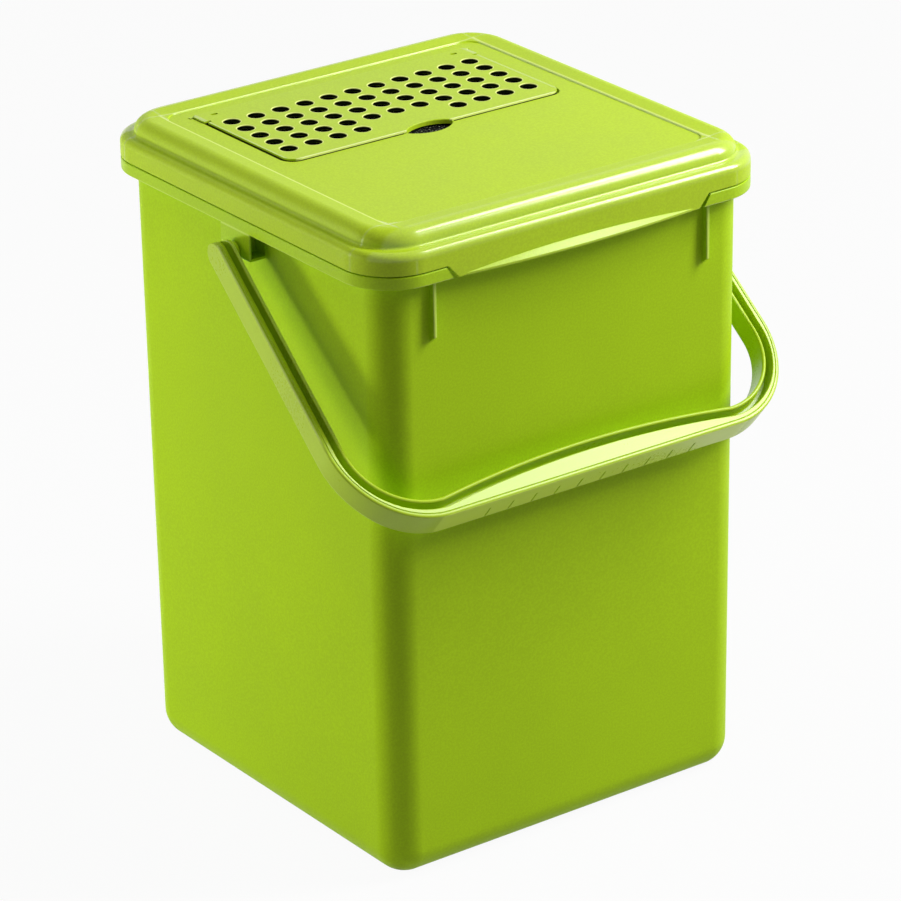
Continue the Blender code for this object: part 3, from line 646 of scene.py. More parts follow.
def painted_hole_light_and_shade(finish, tint):
    """Painted highlights on the rims round the vent holes and along the cover's front edge, and painted
    shade, near black, on the cover's side faces and the holes' walls below the rounded top edge, except at
    the thumb notch.
    """
    x, y, z = finish.axes()
    soft = 0.1 * MM
    pitch_x, pitch_y = HOLE_PITCH
    across = x.wrapped(pitch_x / 2)
    along = (y - HOLE_MIDDLE_Y).wrapped(pitch_y / 2)
    radius = (across * across + along * along) ** 0.5
    half_rows = HOLE_ROWS / 2 * pitch_y
    field_y = y.between(HOLE_MIDDLE_Y - half_rows, HOLE_MIDDLE_Y + half_rows, soft)
    field_x = abs(x).short_of(HOLE_COLUMNS / 2 * pitch_x - 0.3 * MM, 0.3 * MM)
    left_out = abs(x).short_of(1.5 * pitch_x, soft) * y.short_of(HOLE_MIDDLE_Y - 1.5 * pitch_y, soft)
    rim = radius.between(3.55 * MM, 4.1 * MM, 0.12 * MM) * field_x * field_y * (1 - left_out)
    front = y.short_of(COVER_FRONT + 0.75 * MM, soft)
    painted_highlight = rim.largest(front) * z.past(COVER_TOP - 0.75 * MM, 0.05 * MM)
    # Paints highlights on the hole rims and along the front edge.
    tint = finish.mix(painted_highlight * 0.8, tint, (0.86, 0.94, 0.30))
    # Painted shade, near black, on the side faces and hole walls below the rounded top edge, leaving out the
    # thumb notch.
    notch = abs(x).short_of(NOTCH_WIDTH / 2 + MM, soft)
    notch *= y.short_of(COVER_FRONT + NOTCH_BACK + 0.5 * MM, soft)
    wall = z.between(COVER_UNDER + 0.08 * MM, COVER_TOP - 0.75 * MM, 0.06 * MM) * (1 - notch)
    return finish.mix(wall * 0.97, tint, (0.008, 0.010, 0.006))


def painted_grip_light(finish, tint):
    """Painted light: the grip's outer face painted paler to stand in for light that the lamps don't give it,
    and painted highlight lines along the arms' edges.
    """
    x, y, z = finish.axes()
    s, c = math.sin(handle_rest()), math.cos(handle_rest())
    out = (PIVOT_Y - y) * c + (PIVOT_Z - z) * s
    high = (PIVOT_Y - y) * s + (z - PIVOT_Z) * c
    across = abs(x) - ARM_INNER - out * (ARM_SPLAY / ARM_LENGTH)
    half = ARM_DEPTH / 2
    near_side = across.short_of(0.75 * MM, 0.15 * MM)
    far_side = across.past(ARM_WIDTH - 0.65 * MM, 0.15 * MM)
    front = high.past(half - 0.5 * MM, 0.1 * MM) * near_side.largest(far_side)
    back = high.short_of(0.5 * MM - half, 0.1 * MM) * far_side
    on_arm = out.short_of(ARM_LENGTH - 5 * MM, 5 * MM)
    # Painted light on the grip's outer face.
    tint = finish.mix(out.past(GRIP_OUTER - 0.25 * MM, 0.1 * MM) * 0.85, tint, (0.66, 0.84, 0.10))
    # Painted highlight lines along the arms' front and back edges.
    return finish.mix(front.largest(back) * on_arm * 0.7, tint, (0.76, 0.92, 0.22))


def carbon_foam(name, color, sparkle):
    """Black activated carbon foam: open cells, with painted shade in the pits of its relief and painted
    glints, a paler colour with less roughness, on small grains.
    """
    finish = Finish(name)
    cells = finish.add("ShaderNodeTexVoronoi", {"feature": "F1"}, {"Vector": finish.place(), "Scale": 700.0})
    dust = finish.noise(1500.0, 3.0, 0.65)
    grains = finish.add("ShaderNodeTexVoronoi", {"feature": "F1"}, {"Vector": finish.place(), "Scale": 950.0})
    glint = (1 - grains.over(0.24, 0.44)) * dust.over(0.49, 0.56)
    pit = cells.over(0.10, 0.62)
    # Painted shade: the tone is darker where the bump dips into the cells.
    tone = finish.mix(pit, toned(color, 1.4), toned(color, 0.3))
    # Painted glints on small grains.
    tone = finish.mix(glint * sparkle, tone, (0.42, 0.48, 0.30))
    finish.shade(Base_Color=tone, Roughness=0.85 - glint * 0.40)
    finish.shade(Normal=finish.bump(dust * 0.5 - pit, 0.0008, 0.9), Specular_IOR_Level=0.08)
    return finish.material


# Settings

def length(name, description, default):
    return FloatProperty(
        name=name, description=description, default=default, min=0.0, max=1.0,
        precision=5, subtype="DISTANCE", unit="LENGTH",
    )


def share(name, description, default):
    return FloatProperty(
        name=name, description=description, default=default, min=0.0, max=1.0, subtype="FACTOR"
    )


def paint(name, description, default):
    return FloatVectorProperty(
        name=name, description=description, default=default, size=3, min=0.0, max=1.0, subtype="COLOR"
    )


def count(name, description, default):
    return IntProperty(name=name, description=description, default=default, min=0, max=30)


class BucketSettings(bpy.types.PropertyGroup):
    edge: length("Edge round", "Radius of the rim's and the flange's edges", 0.0006)
    root: length("Root fillet", "Radius where the wall meets the underside of the rim", 0.0008)
    pocket: length("Lug pocket", "Depth of the hollow in the front of each handle lug", 0.0070)
    color: paint("Colour", "Colour of the bucket's plastic", (0.420, 0.640, 0.010))
    roughness: share("Roughness", "Roughness of the bucket's walls", 0.50)
    grain: length("Grain", "Depth of the moulded grain", 0.00005)


class LidSettings(bpy.types.PropertyGroup):
    edge: length("Edge round", "Radius of the edges of the opening for the filter cover", 0.0003)
    foot: length("Foot round", "Radius of the skirt's lower edge", 0.0004)
    color: paint("Colour", "Colour of the lid's plastic", (0.455, 0.635, 0.014))
    roughness: share("Roughness", "Roughness of the lid's panel", 0.44)
    grain: length("Grain", "Depth of the moulded grain", 0.00004)


class CoverSettings(bpy.types.PropertyGroup):
    hole: length("Hole diameter", "Diameter of the vent holes", 0.0072)
    hole_edge: length("Hole edge", "Radius of the vent holes' upper edges", 0.0003)
    left_out: count("Holes left out", "Holes missing behind the thumb notch", 3)
    edge: length("Edge round", "Radius of the cover's upper edges", 0.0007)
    roughness: share("Roughness", "Roughness of the cover's face", 0.42)


class FilterSettings(bpy.types.PropertyGroup):
    step: length("Foam grid", "Size of the grid that the foam's surface is shaped on", 0.0011)
    depth: length("Foam relief", "How deep the foam's surface dips", 0.0007)
    color: paint("Colour", "Colour of the carbon foam", (0.005, 0.005, 0.005))
    sparkle: share("Sparkle", "How much the carbon grains glint", 0.7)


class HandleSettings(bpy.types.PropertyGroup):
    edge: length("Edge round", "Radius of the handle's outer edges", 0.0009)
    lines: count("Grip lines", "Short lines across the outer face of the grip", 10)
    line_pitch: length("Line spacing", "Distance between the grip's lines", 0.0114)
    color: paint("Colour", "Colour of the handle's plastic", (0.455, 0.640, 0.012))
    roughness: share("Roughness", "Roughness of the handle", 0.28)
    grain: length("Grain", "Depth of the moulded grain", 0.000006)


class StudioSettings(bpy.types.PropertyGroup):
    level: FloatProperty(
        name="Light level", description="Multiplies every lamp", default=1.0, min=0.0, max=4.0
    )
    ambient: share("Ambient", "Brightness of the room's own light", 0.045)
    floor: paint("Floor", "Colour of the floor", (0.50, 0.50, 0.50))


# Bucket

def wall_ring(inset, z):
    """A ring of the bucket's wall at a height, moved in by an inset."""
    span = RIM_TOP - WALL - BASE_FILLET
    lean = WALL_DRAFT * (1 - min(1.0, (z - BASE_FILLET) / span))
    corner = max(WALL_CORNER - inset, WALL_CORNER * 0.2)
    return Ring(HALF_W - lean - inset, HALF_D - lean - inset, corner, z)


def bucket_rings(edge, root):
    """The bucket's section, from its base up the outside, round the rim and down the inside."""
    under, foot = RIM_TOP - WALL, RIM_TOP - RIM_DROP
    outer = Ring(RIM_W, RIM_D, RIM_CORNER, RIM_TOP)
    base = wall_ring(0.0, BASE_FILLET)
    inner_fillet = BASE_FILLET - WALL
    on_wall = partial(shrunk, wall_ring(0.0, under))
    on_flange = partial(shrunk, shrunk(outer, WALL, under))
    on_outer = partial(shrunk, outer)
    on_inner = partial(shrunk, wall_ring(WALL, RIM_TOP))

    def base_ring(least, inset, z):
        corner = max(WALL_CORNER - inset, WALL_CORNER * least)
        return Ring(base.half_w - inset, base.half_d - inset, corner, z)

    rings = edge_round(partial(base_ring, 0.2), 0.0, 0.0, BASE_FILLET, BASE_FILLET, 12, True)
    rings += [wall_ring(0.0, under * up) for up in (0.3, 0.6, 0.85)]
    rings += edge_round(on_wall, 0.0, under, -root, -root, 4, False)
    rings += edge_round(on_flange, 0.0, under, root, -root, 4, True)
    rings += edge_round(on_flange, 0.0, foot, -edge, edge, 4, False)
    rings += edge_round(on_outer, 0.0, foot, edge, edge, 4, True)
    rings += edge_round(on_outer, 0.0, RIM_TOP, edge, -edge, 4, False)
    rings += edge_round(on_inner, 0.0, RIM_TOP, -edge, -edge, 4, True)
    rings += [wall_ring(WALL, under * up) for up in (0.85, 0.6, 0.3)]
    return rings + edge_round(partial(base_ring, 0.16), WALL, WALL, inner_fillet, inner_fillet, 12, False)


def lip_outline(extra, y, top, bottom):
    """The trapezium of the lid's grip lip seen from the front, grown by a gap."""
    top_half, bottom_half = LIP_TOP / 2 + extra, LIP_BOTTOM / 2 + extra
    corners = [(-bottom_half, bottom), (bottom_half, bottom), (top_half, top), (-top_half, top)]
    return [(x, y, z) for x, z in corners]


def lug_steps(pocket, edge):
    """The hollow lugs under the rim and the bores for the handle's pins."""
    steps = []
    top, bottom, front = RIM_TOP - 0.8 * MM, RIM_TOP - LUG_DROP, PIVOT_Y - LUG_HALF
    for side in (-1, 1):
        x = (side * (HALF_W - OVERLAP), side * RIM_W)
        outer = lambda e: middle(e).x * side > HALF_W
        lug = block(x, (front, PIVOT_Y + LUG_HALF), (bottom, top), edge, outer)
        x = (side * (HALF_W + 0.1 * MM), side * (RIM_W - 0.8 * MM))
        z = (bottom + 1.25 * MM, top - WALL - 0.8 * MM)
        hollow = block(x, (front - PAST, front + pocket), z, 0.5 * MM)
        ends = (side * (HALF_W + 0.8 * MM), side * (RIM_W + PAST))
        steps += [join(lug), cut(hollow), cut(rod(PIN_RADIUS + PIN_CLEARANCE, *ends, PIVOT_Y, PIVOT_Z))]
    return steps


def rib_steps(edge):
    """Tapered ribs that stiffen the flange beside the grip lip."""
    top = RIM_TOP - WALL / 2
    bottom = RIM_TOP - RIM_DROP - RIB_REACH
    outer = -(HALF_D + RIB_DEPTH)
    inner = -(wall_ring(0.0, bottom).half_d - OVERLAP)
    profile = [(inner, bottom), (outer, bottom + RIB_DEPTH), (outer, top), (inner, top)]
    steps = []
    for side in (-1, 1):
        x = side * (LIP_TOP / 2 + RIB_GAP) - RIB_WIDTH / 2
        bm = extruded([(x, y, z) for y, z in profile], (RIB_WIDTH, 0.0, 0.0))
        bevel_edges(bm, [e for e in bm.edges if middle(e).y < -HALF_D - 0.5 * MM], edge)
        steps.append(join(bm))
    return steps


def hinge_spans(side):
    """X of the ends of one hinge's knuckle and of its two ears."""
    low, high = side * KNUCKLE_X - KNUCKLE_HALF, side * KNUCKLE_X + KNUCKLE_HALF
    left = (low - EAR_GAP - EAR_WIDTH, low - EAR_GAP)
    return (low, high), left, (high + EAR_GAP, high + EAR_GAP + EAR_WIDTH)


def ear_steps():
    """The ears behind the bucket's rim and the pins between them."""
    steps = []
    half = KNUCKLE_RADIUS * 0.8
    for side in (-1, 1):
        _, left, right = hinge_spans(side)
        for ear in (left, right):
            steps.append(join(block(ear, (RIM_D - WALL / 2, HINGE_Y), (HINGE_Z - half, HINGE_Z + half))))
            steps.append(join(rod(KNUCKLE_RADIUS, *ear, HINGE_Y, HINGE_Z, 0.25 * MM)))
        ends = (left[0] + EAR_WIDTH / 2, right[1] - EAR_WIDTH / 2)
        steps.append(join(rod(HINGE_PIN, *ends, HINGE_Y, HINGE_Z)))
    return steps


class CADDY_OT_bucket(bpy.types.Operator):
    """Builds the bucket with its rim flange, lugs, front ribs and hinge ears"""

    bl_idname = "caddy.bucket"
    bl_label = "Bucket"

    def execute(self, context):
        s = context.scene.caddy_bucket
        shell = ring_shell(bucket_rings(s.edge, s.root), 14)
        outline = lip_outline(LIP_GAP, -(RIM_D + PAST), RIM_TOP + PAST, RIM_TOP - RIM_DROP - PAST)
        deep = PAST + LID_WALL + LIP_GAP
        steps = [cut(extruded(outline, (0.0, deep, 0.0))), *lug_steps(s.pocket, s.edge)]
        mesh = carved(shell, steps + rib_steps(0.5 * MM) + ear_steps())
        look = {"gloss": wall_gloss, "dress": painted_rim_highlights, "coat": 0.14}
        plastic = moulded_green("bucket satin green", s.color, s.roughness, s.grain, 0.10, **look)
        finish_piece("bucket_shell", mesh, plastic, "bucket", "bucket")
        return {"FINISHED"}


# Lid

def lid_ring(inset, z):
    return Ring(RIM_W - inset, RIM_D - inset, RIM_CORNER - inset * LID_CORNER_SHARE, z)


def lid_rings(foot):
    """The lid's section, from the underside of its panel out to the skirt's foot and back over the top."""
    tip = BORDER_INSET + BORDER_ROUND
    inner, skirt, root, edge = BORDER_ROUND - LID_WALL, SKIRT_ROUND - LID_WALL, 1.1 * MM, 0.45 * MM
    rings = [lid_ring(BORDER_INNER + PANEL_STEP + 0.4 * MM, PANEL_Z - LID_WALL)]
    rings.append(lid_ring(BORDER_INNER + 0.4 * MM, PANEL_Z - LID_WALL + 0.1 * MM))
    rings += edge_round(lid_ring, tip - inner, CREST_Z - LID_WALL, inner, -inner, 8, True)
    rings.append(lid_ring(BORDER_INSET + LID_WALL, SHOULDER_Z - LID_WALL))
    rings += edge_round(lid_ring, LID_WALL, SHOULDER_Z - LID_WALL, skirt, -skirt, 3, True)
    rings += edge_round(lid_ring, LID_WALL, SKIRT_Z, -foot, foot, 3, False)
    rings += edge_round(lid_ring, 0.0, SKIRT_Z, foot, foot, 3, True)
    rings += edge_round(lid_ring, 0.0, SHOULDER_Z, SKIRT_ROUND, -SKIRT_ROUND, 10, False)
    rings += edge_round(lid_ring, BORDER_INSET, SHOULDER_Z, -root, root, 5, True)
    turn = math.pi / 2 + math.atan2(BORDER_FALL, BORDER_INNER - tip)
    for step in range(17):
        angle = step / 16 * turn
        inset = tip - BORDER_ROUND * math.cos(angle)
        rings.append(lid_ring(inset, CREST_Z - BORDER_ROUND * (1 - math.sin(angle))))
    rings += edge_round(lid_ring, BORDER_INNER, CREST_Z - BORDER_FALL, -edge, -edge, 5, True)
    rings.append(lid_ring(BORDER_INNER + 0.04 * MM, PANEL_Z + 0.06 * MM))
    rings.append(lid_ring(BORDER_INNER + 0.12 * MM, PANEL_Z))
    return rings


def plug_ring():
    """The ring under the lid that stands just inside the bucket's wall, its lower edges rounded."""
    outer = shrunk(wall_ring(WALL, RIM_TOP), PLUG_GAP, 0.0)
    low, top, edge = RIM_TOP - PLUG_DEPTH, CREST_Z - LID_WALL / 2, 0.4 * MM
    ring_at = partial(shrunk, outer)
    rings = [ring_at(PLUG_WALL, top), ring_at(0.0, top)]
    rings += edge_round(ring_at, 0.0, low, edge, edge, 3, False)
    rings += edge_round(ring_at, PLUG_WALL, low, -edge, edge, 3, True)
    return ring_band(rings, 10)


def lip_flare():
    """The crescent that swells out of the lip's lower edge: a wedge spun about a far upright axis."""
    half = FLARE_WIDTH / 2
    radius = (half * half + FLARE * FLARE) / (2 * FLARE)
    centre_y = -(RIM_D + FLARE) + radius
    sweep = math.asin(half / radius) * 1.06
    bottom = SKIRT_Z - LIP_DROP
    root = radius - FLARE - LID_WALL * 2
    edge = 0.45 * MM
    profile = [(root, bottom)]
    profile += [(radius - edge * (1 - s), bottom + edge * (1 - c)) for s, c in quarter(5)]
    profile.append((radius, bottom + 1.1 * MM))
    profile.append((radius - FLARE * 1.1, bottom + FLARE_HEIGHT * 1.1))
    profile.append((root, bottom + FLARE_HEIGHT * 1.1))
    bm = bmesh.new()
    verts = [bm.verts.new((0.0, centre_y - r, z)) for r, z in profile]
    face = bm.faces.new(verts)
    axis = {"cent": (0.0, centre_y, 0.0)}
    bmesh.ops.rotate(bm, verts=verts, matrix=Matrix.Rotation(-sweep, 3, "Z"), **axis)
    section = [face, *face.edges, *verts]
    bmesh.ops.spin(bm, geom=section, axis=(0, 0, 1), angle=2 * sweep, steps=64, **axis)
    outward(bm)
    inside = {"plane_co": (0.0, -(RIM_D - LID_WALL / 2), 0.0), "plane_no": (0, 1, 0), "clear_outer": True}
    sliced = bmesh.ops.bisect_plane(bm, geom=[*bm.verts, *bm.edges, *bm.faces], **inside)
    bmesh.ops.edgeloop_fill(bm, edges=new_edges(sliced["geom_cut"]))
    return outward(bm)


def arc_cutter(depth, width, y, toward, low, top, edge):
    """A round cutter whose shallow arc of the given depth and width lies beyond a straight edge at y."""
    radius = (width * width / 4 + depth * depth) / (2 * depth)
    profile = [(radius, low)]
    profile += [(radius + edge * (1 - c), top - edge * (1 - s)) for s, c in quarter(5)]
    profile.append((radius + edge, top + 4 * MM))
    bm = turned(profile, 160)
    bmesh.ops.translate(bm, vec=(0.0, y + toward * (depth - radius), 0.0), verts=bm.verts)
    return bm


def clamped(value, reach):
    return max(-reach, min(reach, value))


def cover_prism(grow, back, low, top, edge):
    """The filter cover's outline as an upright solid, flared at its top to leave a rounded edge."""
    half, front = COVER_HALF + grow, COVER_FRONT - grow
    bm = block((-half, half), (front, back), (low, top + 4 * MM))
    corners = [e for e in bm.edges if is_upright(e) and middle(e).y < COVER_FRONT]
    bevel_edges(bm, corners, COVER_CORNER + grow, 12)
    if not edge:
        return bm
    for s, _ in quarter(5):
        everything = [*bm.verts, *bm.edges, *bm.faces]
        height = top - edge * (1 - s)
        bmesh.ops.bisect_plane(bm, geom=everything, plane_co=(0, 0, height), plane_no=(0, 0, 1))
    centre = Vector((0.0, (front + back) / 2, 0.0))
    half_d = (back - front) / 2
    core_x, core_y = half - COVER_CORNER - grow, half_d - COVER_CORNER - grow
    for vert in bm.verts:
        rise = (vert.co.z - top + edge) / edge
        if rise <= MERGE / edge:
            continue
        off = vert.co - centre
        if off.y > 0:
            out_x = math.copysign(1.0, off.x) if abs(off.x) > half - MERGE else 0.0
            reach = Vector((out_x, 1.0 if off.y > half_d - MERGE else 0.0, 0.0))
        else:
            reach = Vector((off.x - clamped(off.x, core_x), off.y - clamped(off.y, core_y), 0.0))
            reach = reach.normalized() if reach.length > MERGE else Vector()
        vert.co += reach * edge * (1 - math.sqrt(1 - min(1.0, rise) ** 2))
    return outward(bm)


def tray_steps(edge):
    """The tray for the carbon pad, with the filter cover's opening above it and slots below it."""
    well_w = PAD_HIGH.x + PAD_GAP
    well_front, well_back = PAD_LOW.y - PAD_GAP, PAD_HIGH.y + PAD_GAP
    tray_w = COVER_HALF + COVER_GAP + TRAY_WALL
    bottom = WELL_FLOOR - TRAY_FLOOR
    y = (well_front - TRAY_WALL, COVER_BACK + COVER_GAP + TRAY_WALL)
    below = lambda e: is_upright(e) or middle(e).z < bottom + MERGE
    tray = block((-tray_w, tray_w), y, (bottom, PANEL_Z - LID_WALL / 2), 0.8 * MM, below)
    steps = [join(tray), cut(cover_prism(COVER_GAP, COVER_BACK + COVER_GAP, WELL_TOP, PANEL_Z, edge))]
    for side in (-1, 1):
        x = (side * (COVER_HALF - 0.7 * MM), side * (COVER_HALF + COVER_GAP + 0.1 * MM))
        steps.append(cut(block(x, (COVER_FRONT + 4 * MM, SHOULDER_Y), (WELL_FLOOR + MM, WELL_TOP + MM))))
    well_z = (WELL_FLOOR, WELL_TOP + MM)
    steps.append(cut(block((-well_w, well_w), (well_front, well_back), well_z, 0.8 * MM, is_upright)))
    start, floor = COVER_FRONT - COVER_GAP, PANEL_Z - 1.7 * MM
    steps.append(cut(arc_cutter(NOTCH_FRONT, NOTCH_WIDTH, start, -1, floor, PANEL_Z, edge)))
    slots = bmesh.new()
    size = Matrix.Diagonal((SLOT_SIZE, SLOT_SIZE, TRAY_FLOOR + PAST, 1.0))
    for column in range(SLOT_COLUMNS):
        for row in range(SLOT_ROWS):
            x = (column - (SLOT_COLUMNS - 1) / 2) * SLOT_PITCH[0]
            y = (well_front + well_back) / 2 + (row - (SLOT_ROWS - 1) / 2) * SLOT_PITCH[1]
            place = Matrix.Translation((x, y, (bottom + WELL_FLOOR) / 2))
            bmesh.ops.create_cube(slots, size=1.0, matrix=place @ size)
    bevel_edges(slots, [e for e in slots.edges if is_upright(e)], 1.2 * MM)
    steps.append(cut(slots))
    for side in (-1, 1):
        x = (side * (COVER_HALF + COVER_GAP - MM), side * (COVER_HALF + COVER_GAP + 1.6 * MM))
        y = (COVER_AXIS_Y - PEG_BORE, COVER_AXIS_Y + PEG_BORE)
        steps.append(cut(rod(PEG_BORE, *x, COVER_AXIS_Y, COVER_AXIS_Z, sides=24)))
        steps.append(cut(block(x, y, (COVER_AXIS_Z, PANEL_Z + PAST))))
    return steps


def knuckle_steps():
    """The lid's hooks round the bucket's hinge pins, open below."""
    steps = []
    neck = SKIRT_Z + 0.4 * MM
    half = KNUCKLE_RADIUS / 2
    rounded = lambda e: middle(e).y > HINGE_Y and middle(e).z > neck
    for side in (-1, 1):
        span, _, _ = hinge_spans(side)
        through = (span[0] - PAST, span[1] + PAST)
        mouth = (HINGE_Y - KNUCKLE_MOUTH, HINGE_Y + KNUCKLE_MOUTH)
        arm = (RIM_D - LID_WALL / 2, HINGE_Y + half)
        steps += [
            join(rod(KNUCKLE_RADIUS, *span, HINGE_Y, HINGE_Z, 0.25 * MM)),
            join(block(span, arm, (neck, neck + LID_WALL), 0.4 * MM, rounded)),
            join(block(span, (HINGE_Y - half, HINGE_Y + half), (HINGE_Z, neck + 0.4 * MM))),
            cut(rod(KNUCKLE_BORE, *through, HINGE_Y, HINGE_Z)),
            cut(block(through, mouth, (HINGE_Z - KNUCKLE_RADIUS - PAST, HINGE_Z))),
        ]
    return steps


class CADDY_OT_lid(bpy.types.Operator):
    """Builds the lid with its stepped border, plug ring, grip lip, filter tray and knuckles"""

    bl_idname = "caddy.lid"
    bl_label = "Lid"

    def execute(self, context):
        s = context.scene.caddy_lid
        shell = ring_shell(lid_rings(s.foot), 14)
        outline = lip_outline(0.0, -RIM_D, SKIRT_Z + 0.8 * MM, SKIRT_Z - LIP_DROP)
        lip = extruded(outline, (0.0, LID_WALL, 0.0))
        bevel_edges(lip, [e for e in lip.edges if middle(e).z < SKIRT_Z], 0.45 * MM)
        steps = [join(plug_ring()), join(lip), join(lip_flare())]
        mesh = carved(shell, steps + tray_steps(s.edge) + knuckle_steps())
        look = {"gloss": border_gloss, "dress": painted_panel_highlight}
        plastic = moulded_green("lid green", s.color, s.roughness, s.grain, 0.25, **look)
        finish_piece("lid_shell", mesh, plastic, "lid", "lid")
        return {"FINISHED"}


# Filter cover

def cover_plate(edge):
    """The cover's plate: rounded front corners, a full round along its hinge, and softened upper edges."""
    half = COVER_HALF - COVER_TRIM
    bm = block((-half, half), (COVER_FRONT, COVER_BACK), (COVER_UNDER, COVER_TOP))
    corners = [e for e in bm.edges if is_upright(e) and middle(e).y < COVER_FRONT + MM]
    bevel_edges(bm, corners, COVER_CORNER, 12)
    back = [e for e in bm.edges if not is_upright(e) and middle(e).y > COVER_BACK - MERGE]
    bevel_edges(bm, back, COVER_THICK / 2 - 0.01 * MM, 6)
    bm.normal_update()
    for z, radius in ((COVER_TOP, edge), (COVER_UNDER, edge * 0.5)):
        level = [e for e in bm.edges if all(abs(v.co.z - z) < MERGE for v in e.verts)]
        before_back = [e for e in level if middle(e).y < COVER_BACK - COVER_THICK * 0.49 - 0.1 * MM]
        bevel_edges(bm, [e for e in before_back if e.calc_face_angle(0.0) > 1.2], radius, 4)
    return outward(bm)


def hole_cutter(radius, edge):
    """A round cutter with a softened upper edge, a thin lip and a wider relief under the plate."""
    relief, lip, ramp = radius + 1.1 * MM, 0.32 * MM, 0.40 * MM
    profile = [(relief, COVER_UNDER - MM), (relief, COVER_TOP - lip - ramp), (radius, COVER_TOP - lip)]
    profile += [(radius + edge * (1 - c), COVER_TOP - edge * (1 - s)) for s, c in quarter(3)]
    profile.append((radius + edge, COVER_TOP + MM))
    return turned(profile, 28)


def vent_cutters(diameter, edge, left_out):
    """A cutter for every vent hole."""
    bm = hole_cutter(diameter / 2, edge)
    first = [*bm.verts, *bm.edges, *bm.faces]
    for row in range(HOLE_ROWS):
        for column in range(HOLE_COLUMNS):
            off = column - (HOLE_COLUMNS - 1) / 2
            if row == 0 and abs(off) < left_out / 2:
                continue
            x = off * HOLE_PITCH[0]
            y = HOLE_MIDDLE_Y + (row - (HOLE_ROWS - 1) / 2) * HOLE_PITCH[1]
            copied = bmesh.ops.duplicate(bm, geom=first)["geom"]
            bmesh.ops.translate(bm, vec=(x, y, 0.0), verts=new_verts(copied))
    bmesh.ops.delete(bm, geom=new_verts(first), context="VERTS")
    return bm


class CADDY_OT_filter_cover(bpy.types.Operator):
    """Builds the vented filter cover with its hinge pegs and thumb notch"""

    bl_idname = "caddy.filter_cover"
    bl_label = "Filter cover"

    def execute(self, context):
        s = context.scene.caddy_cover
        lid = context.scene.caddy_lid
        reach = COVER_HALF + COVER_GAP + 1.3 * MM
        through = (COVER_UNDER - PAST, COVER_TOP + PAST)
        steps = [
            join(rod(PEG_RADIUS, -reach, reach, COVER_AXIS_Y, COVER_AXIS_Z, 0.15 * MM, 24)),
            cut(vent_cutters(s.hole, s.hole_edge, s.left_out)),
            cut(arc_cutter(NOTCH_BACK, NOTCH_WIDTH, COVER_FRONT, 1, through[0], COVER_TOP, s.edge * 0.6)),
        ]
        hinge_notch = (60.5 * MM, COVER_BACK - 4.5 * MM, 1.5 * MM)
        shoulder_slit = (COVER_HALF, SHOULDER_Y - 0.4 * MM, 2.4 * MM)
        for side in (-1, 1):
            for x, y, half in (hinge_notch, shoulder_slit):
                span = (side * x - half, side * x + half)
                steps.append(cut(block(span, (y - 0.8 * MM, y + 0.8 * MM), through, 0.3 * MM, is_upright)))
            x = (side * (COVER_HALF - COVER_TRIM - MM), side * (COVER_HALF + COVER_GAP - 0.15 * MM))
            y = (SHOULDER_Y + 0.4 * MM, COVER_BACK - 1.6 * MM)
            steps.append(join(block(x, y, (COVER_UNDER + 0.1 * MM, COVER_TOP - 0.05 * MM), 0.1 * MM)))
        mesh = carved(cover_plate(s.edge), steps)
        look = {"gloss": cover_gloss, "dress": painted_hole_light_and_shade}
        plastic = moulded_green("cover green", lid.color, s.roughness, lid.grain, 0.28, **look)
        finish_piece("vent_cover", mesh, plastic, "filter_cover", "filter_cover")
        return {"FINISHED"}


class CADDY_OT_carbon_pad(bpy.types.Operator):
    """Builds the carbon foam pad that lies under the vent holes"""

    bl_idname = "caddy.carbon_pad"
    bl_label = "Carbon pad"

    def execute(self, context):
        s = context.scene.caddy_filter
        size = PAD_HIGH - PAD_LOW
        bm = bmesh.new()
        place = Matrix.Translation((0.0, (PAD_LOW.y + PAD_HIGH.y) / 2, PAD_HIGH.z))
        grid = {"x_segments": round(size.x / s.step), "y_segments": round(size.y / s.step), "size": 0.5}
        bmesh.ops.create_grid(bm, matrix=place @ Matrix.Diagonal((size.x, size.y, 1.0, 1.0)), **grid)
        edges = [e for e in bm.edges if e.is_boundary]
        for _ in range(PAD_LAYERS):
            verts, edges = extrude(bm, edges)
            bmesh.ops.translate(bm, vec=(0.0, 0.0, -size.z / PAD_LAYERS), verts=verts)
        bmesh.ops.edgeloop_fill(bm, edges=edges)
        outward(bm)
        centre = (PAD_LOW + PAD_HIGH) / 2
        for vert in bm.verts:
            rough = sum(noise.noise(vert.co * scale) for scale in FOAM_SCALES) / 2
            dip = s.depth * (0.5 - 0.5 * rough)
            inwards = centre - vert.co
            for axis in range(3):
                if abs(inwards[axis]) > size[axis] / 2 - FOAM_SKIN:
                    vert.co[axis] += math.copysign(dip, inwards[axis])
        foam = carbon_foam("carbon foam", s.color, s.sparkle)
        mesh = mesh_of(bm, "carbon_pad")
        pad = finish_piece("carbon_pad", mesh, foam, "lid", "carbon_filter")
        pad.modifiers.remove(pad.modifiers[0])
        return {"FINISHED"}


# Handle

def grip_inner(x):
    """Distance from the pivot to the grip's inner edge, which bows up towards the middle."""
    return GRIP_OUTER - (GRIP_WIDTH + (GRIP_END_WIDTH - GRIP_WIDTH) * (x / BEND_X) ** 2)


def handle_rest():
    """The arms' slope at rest, from how far the handle reaches in front of its pivot."""
    front = ARM_DEPTH / 2
    reach = math.hypot(GRIP_OUTER, front)
    return math.acos((PIVOT_Y - HANDLE_LOW.y) / reach) + math.atan2(front, GRIP_OUTER)


Station = namedtuple("Station", "outer inner front back floor")


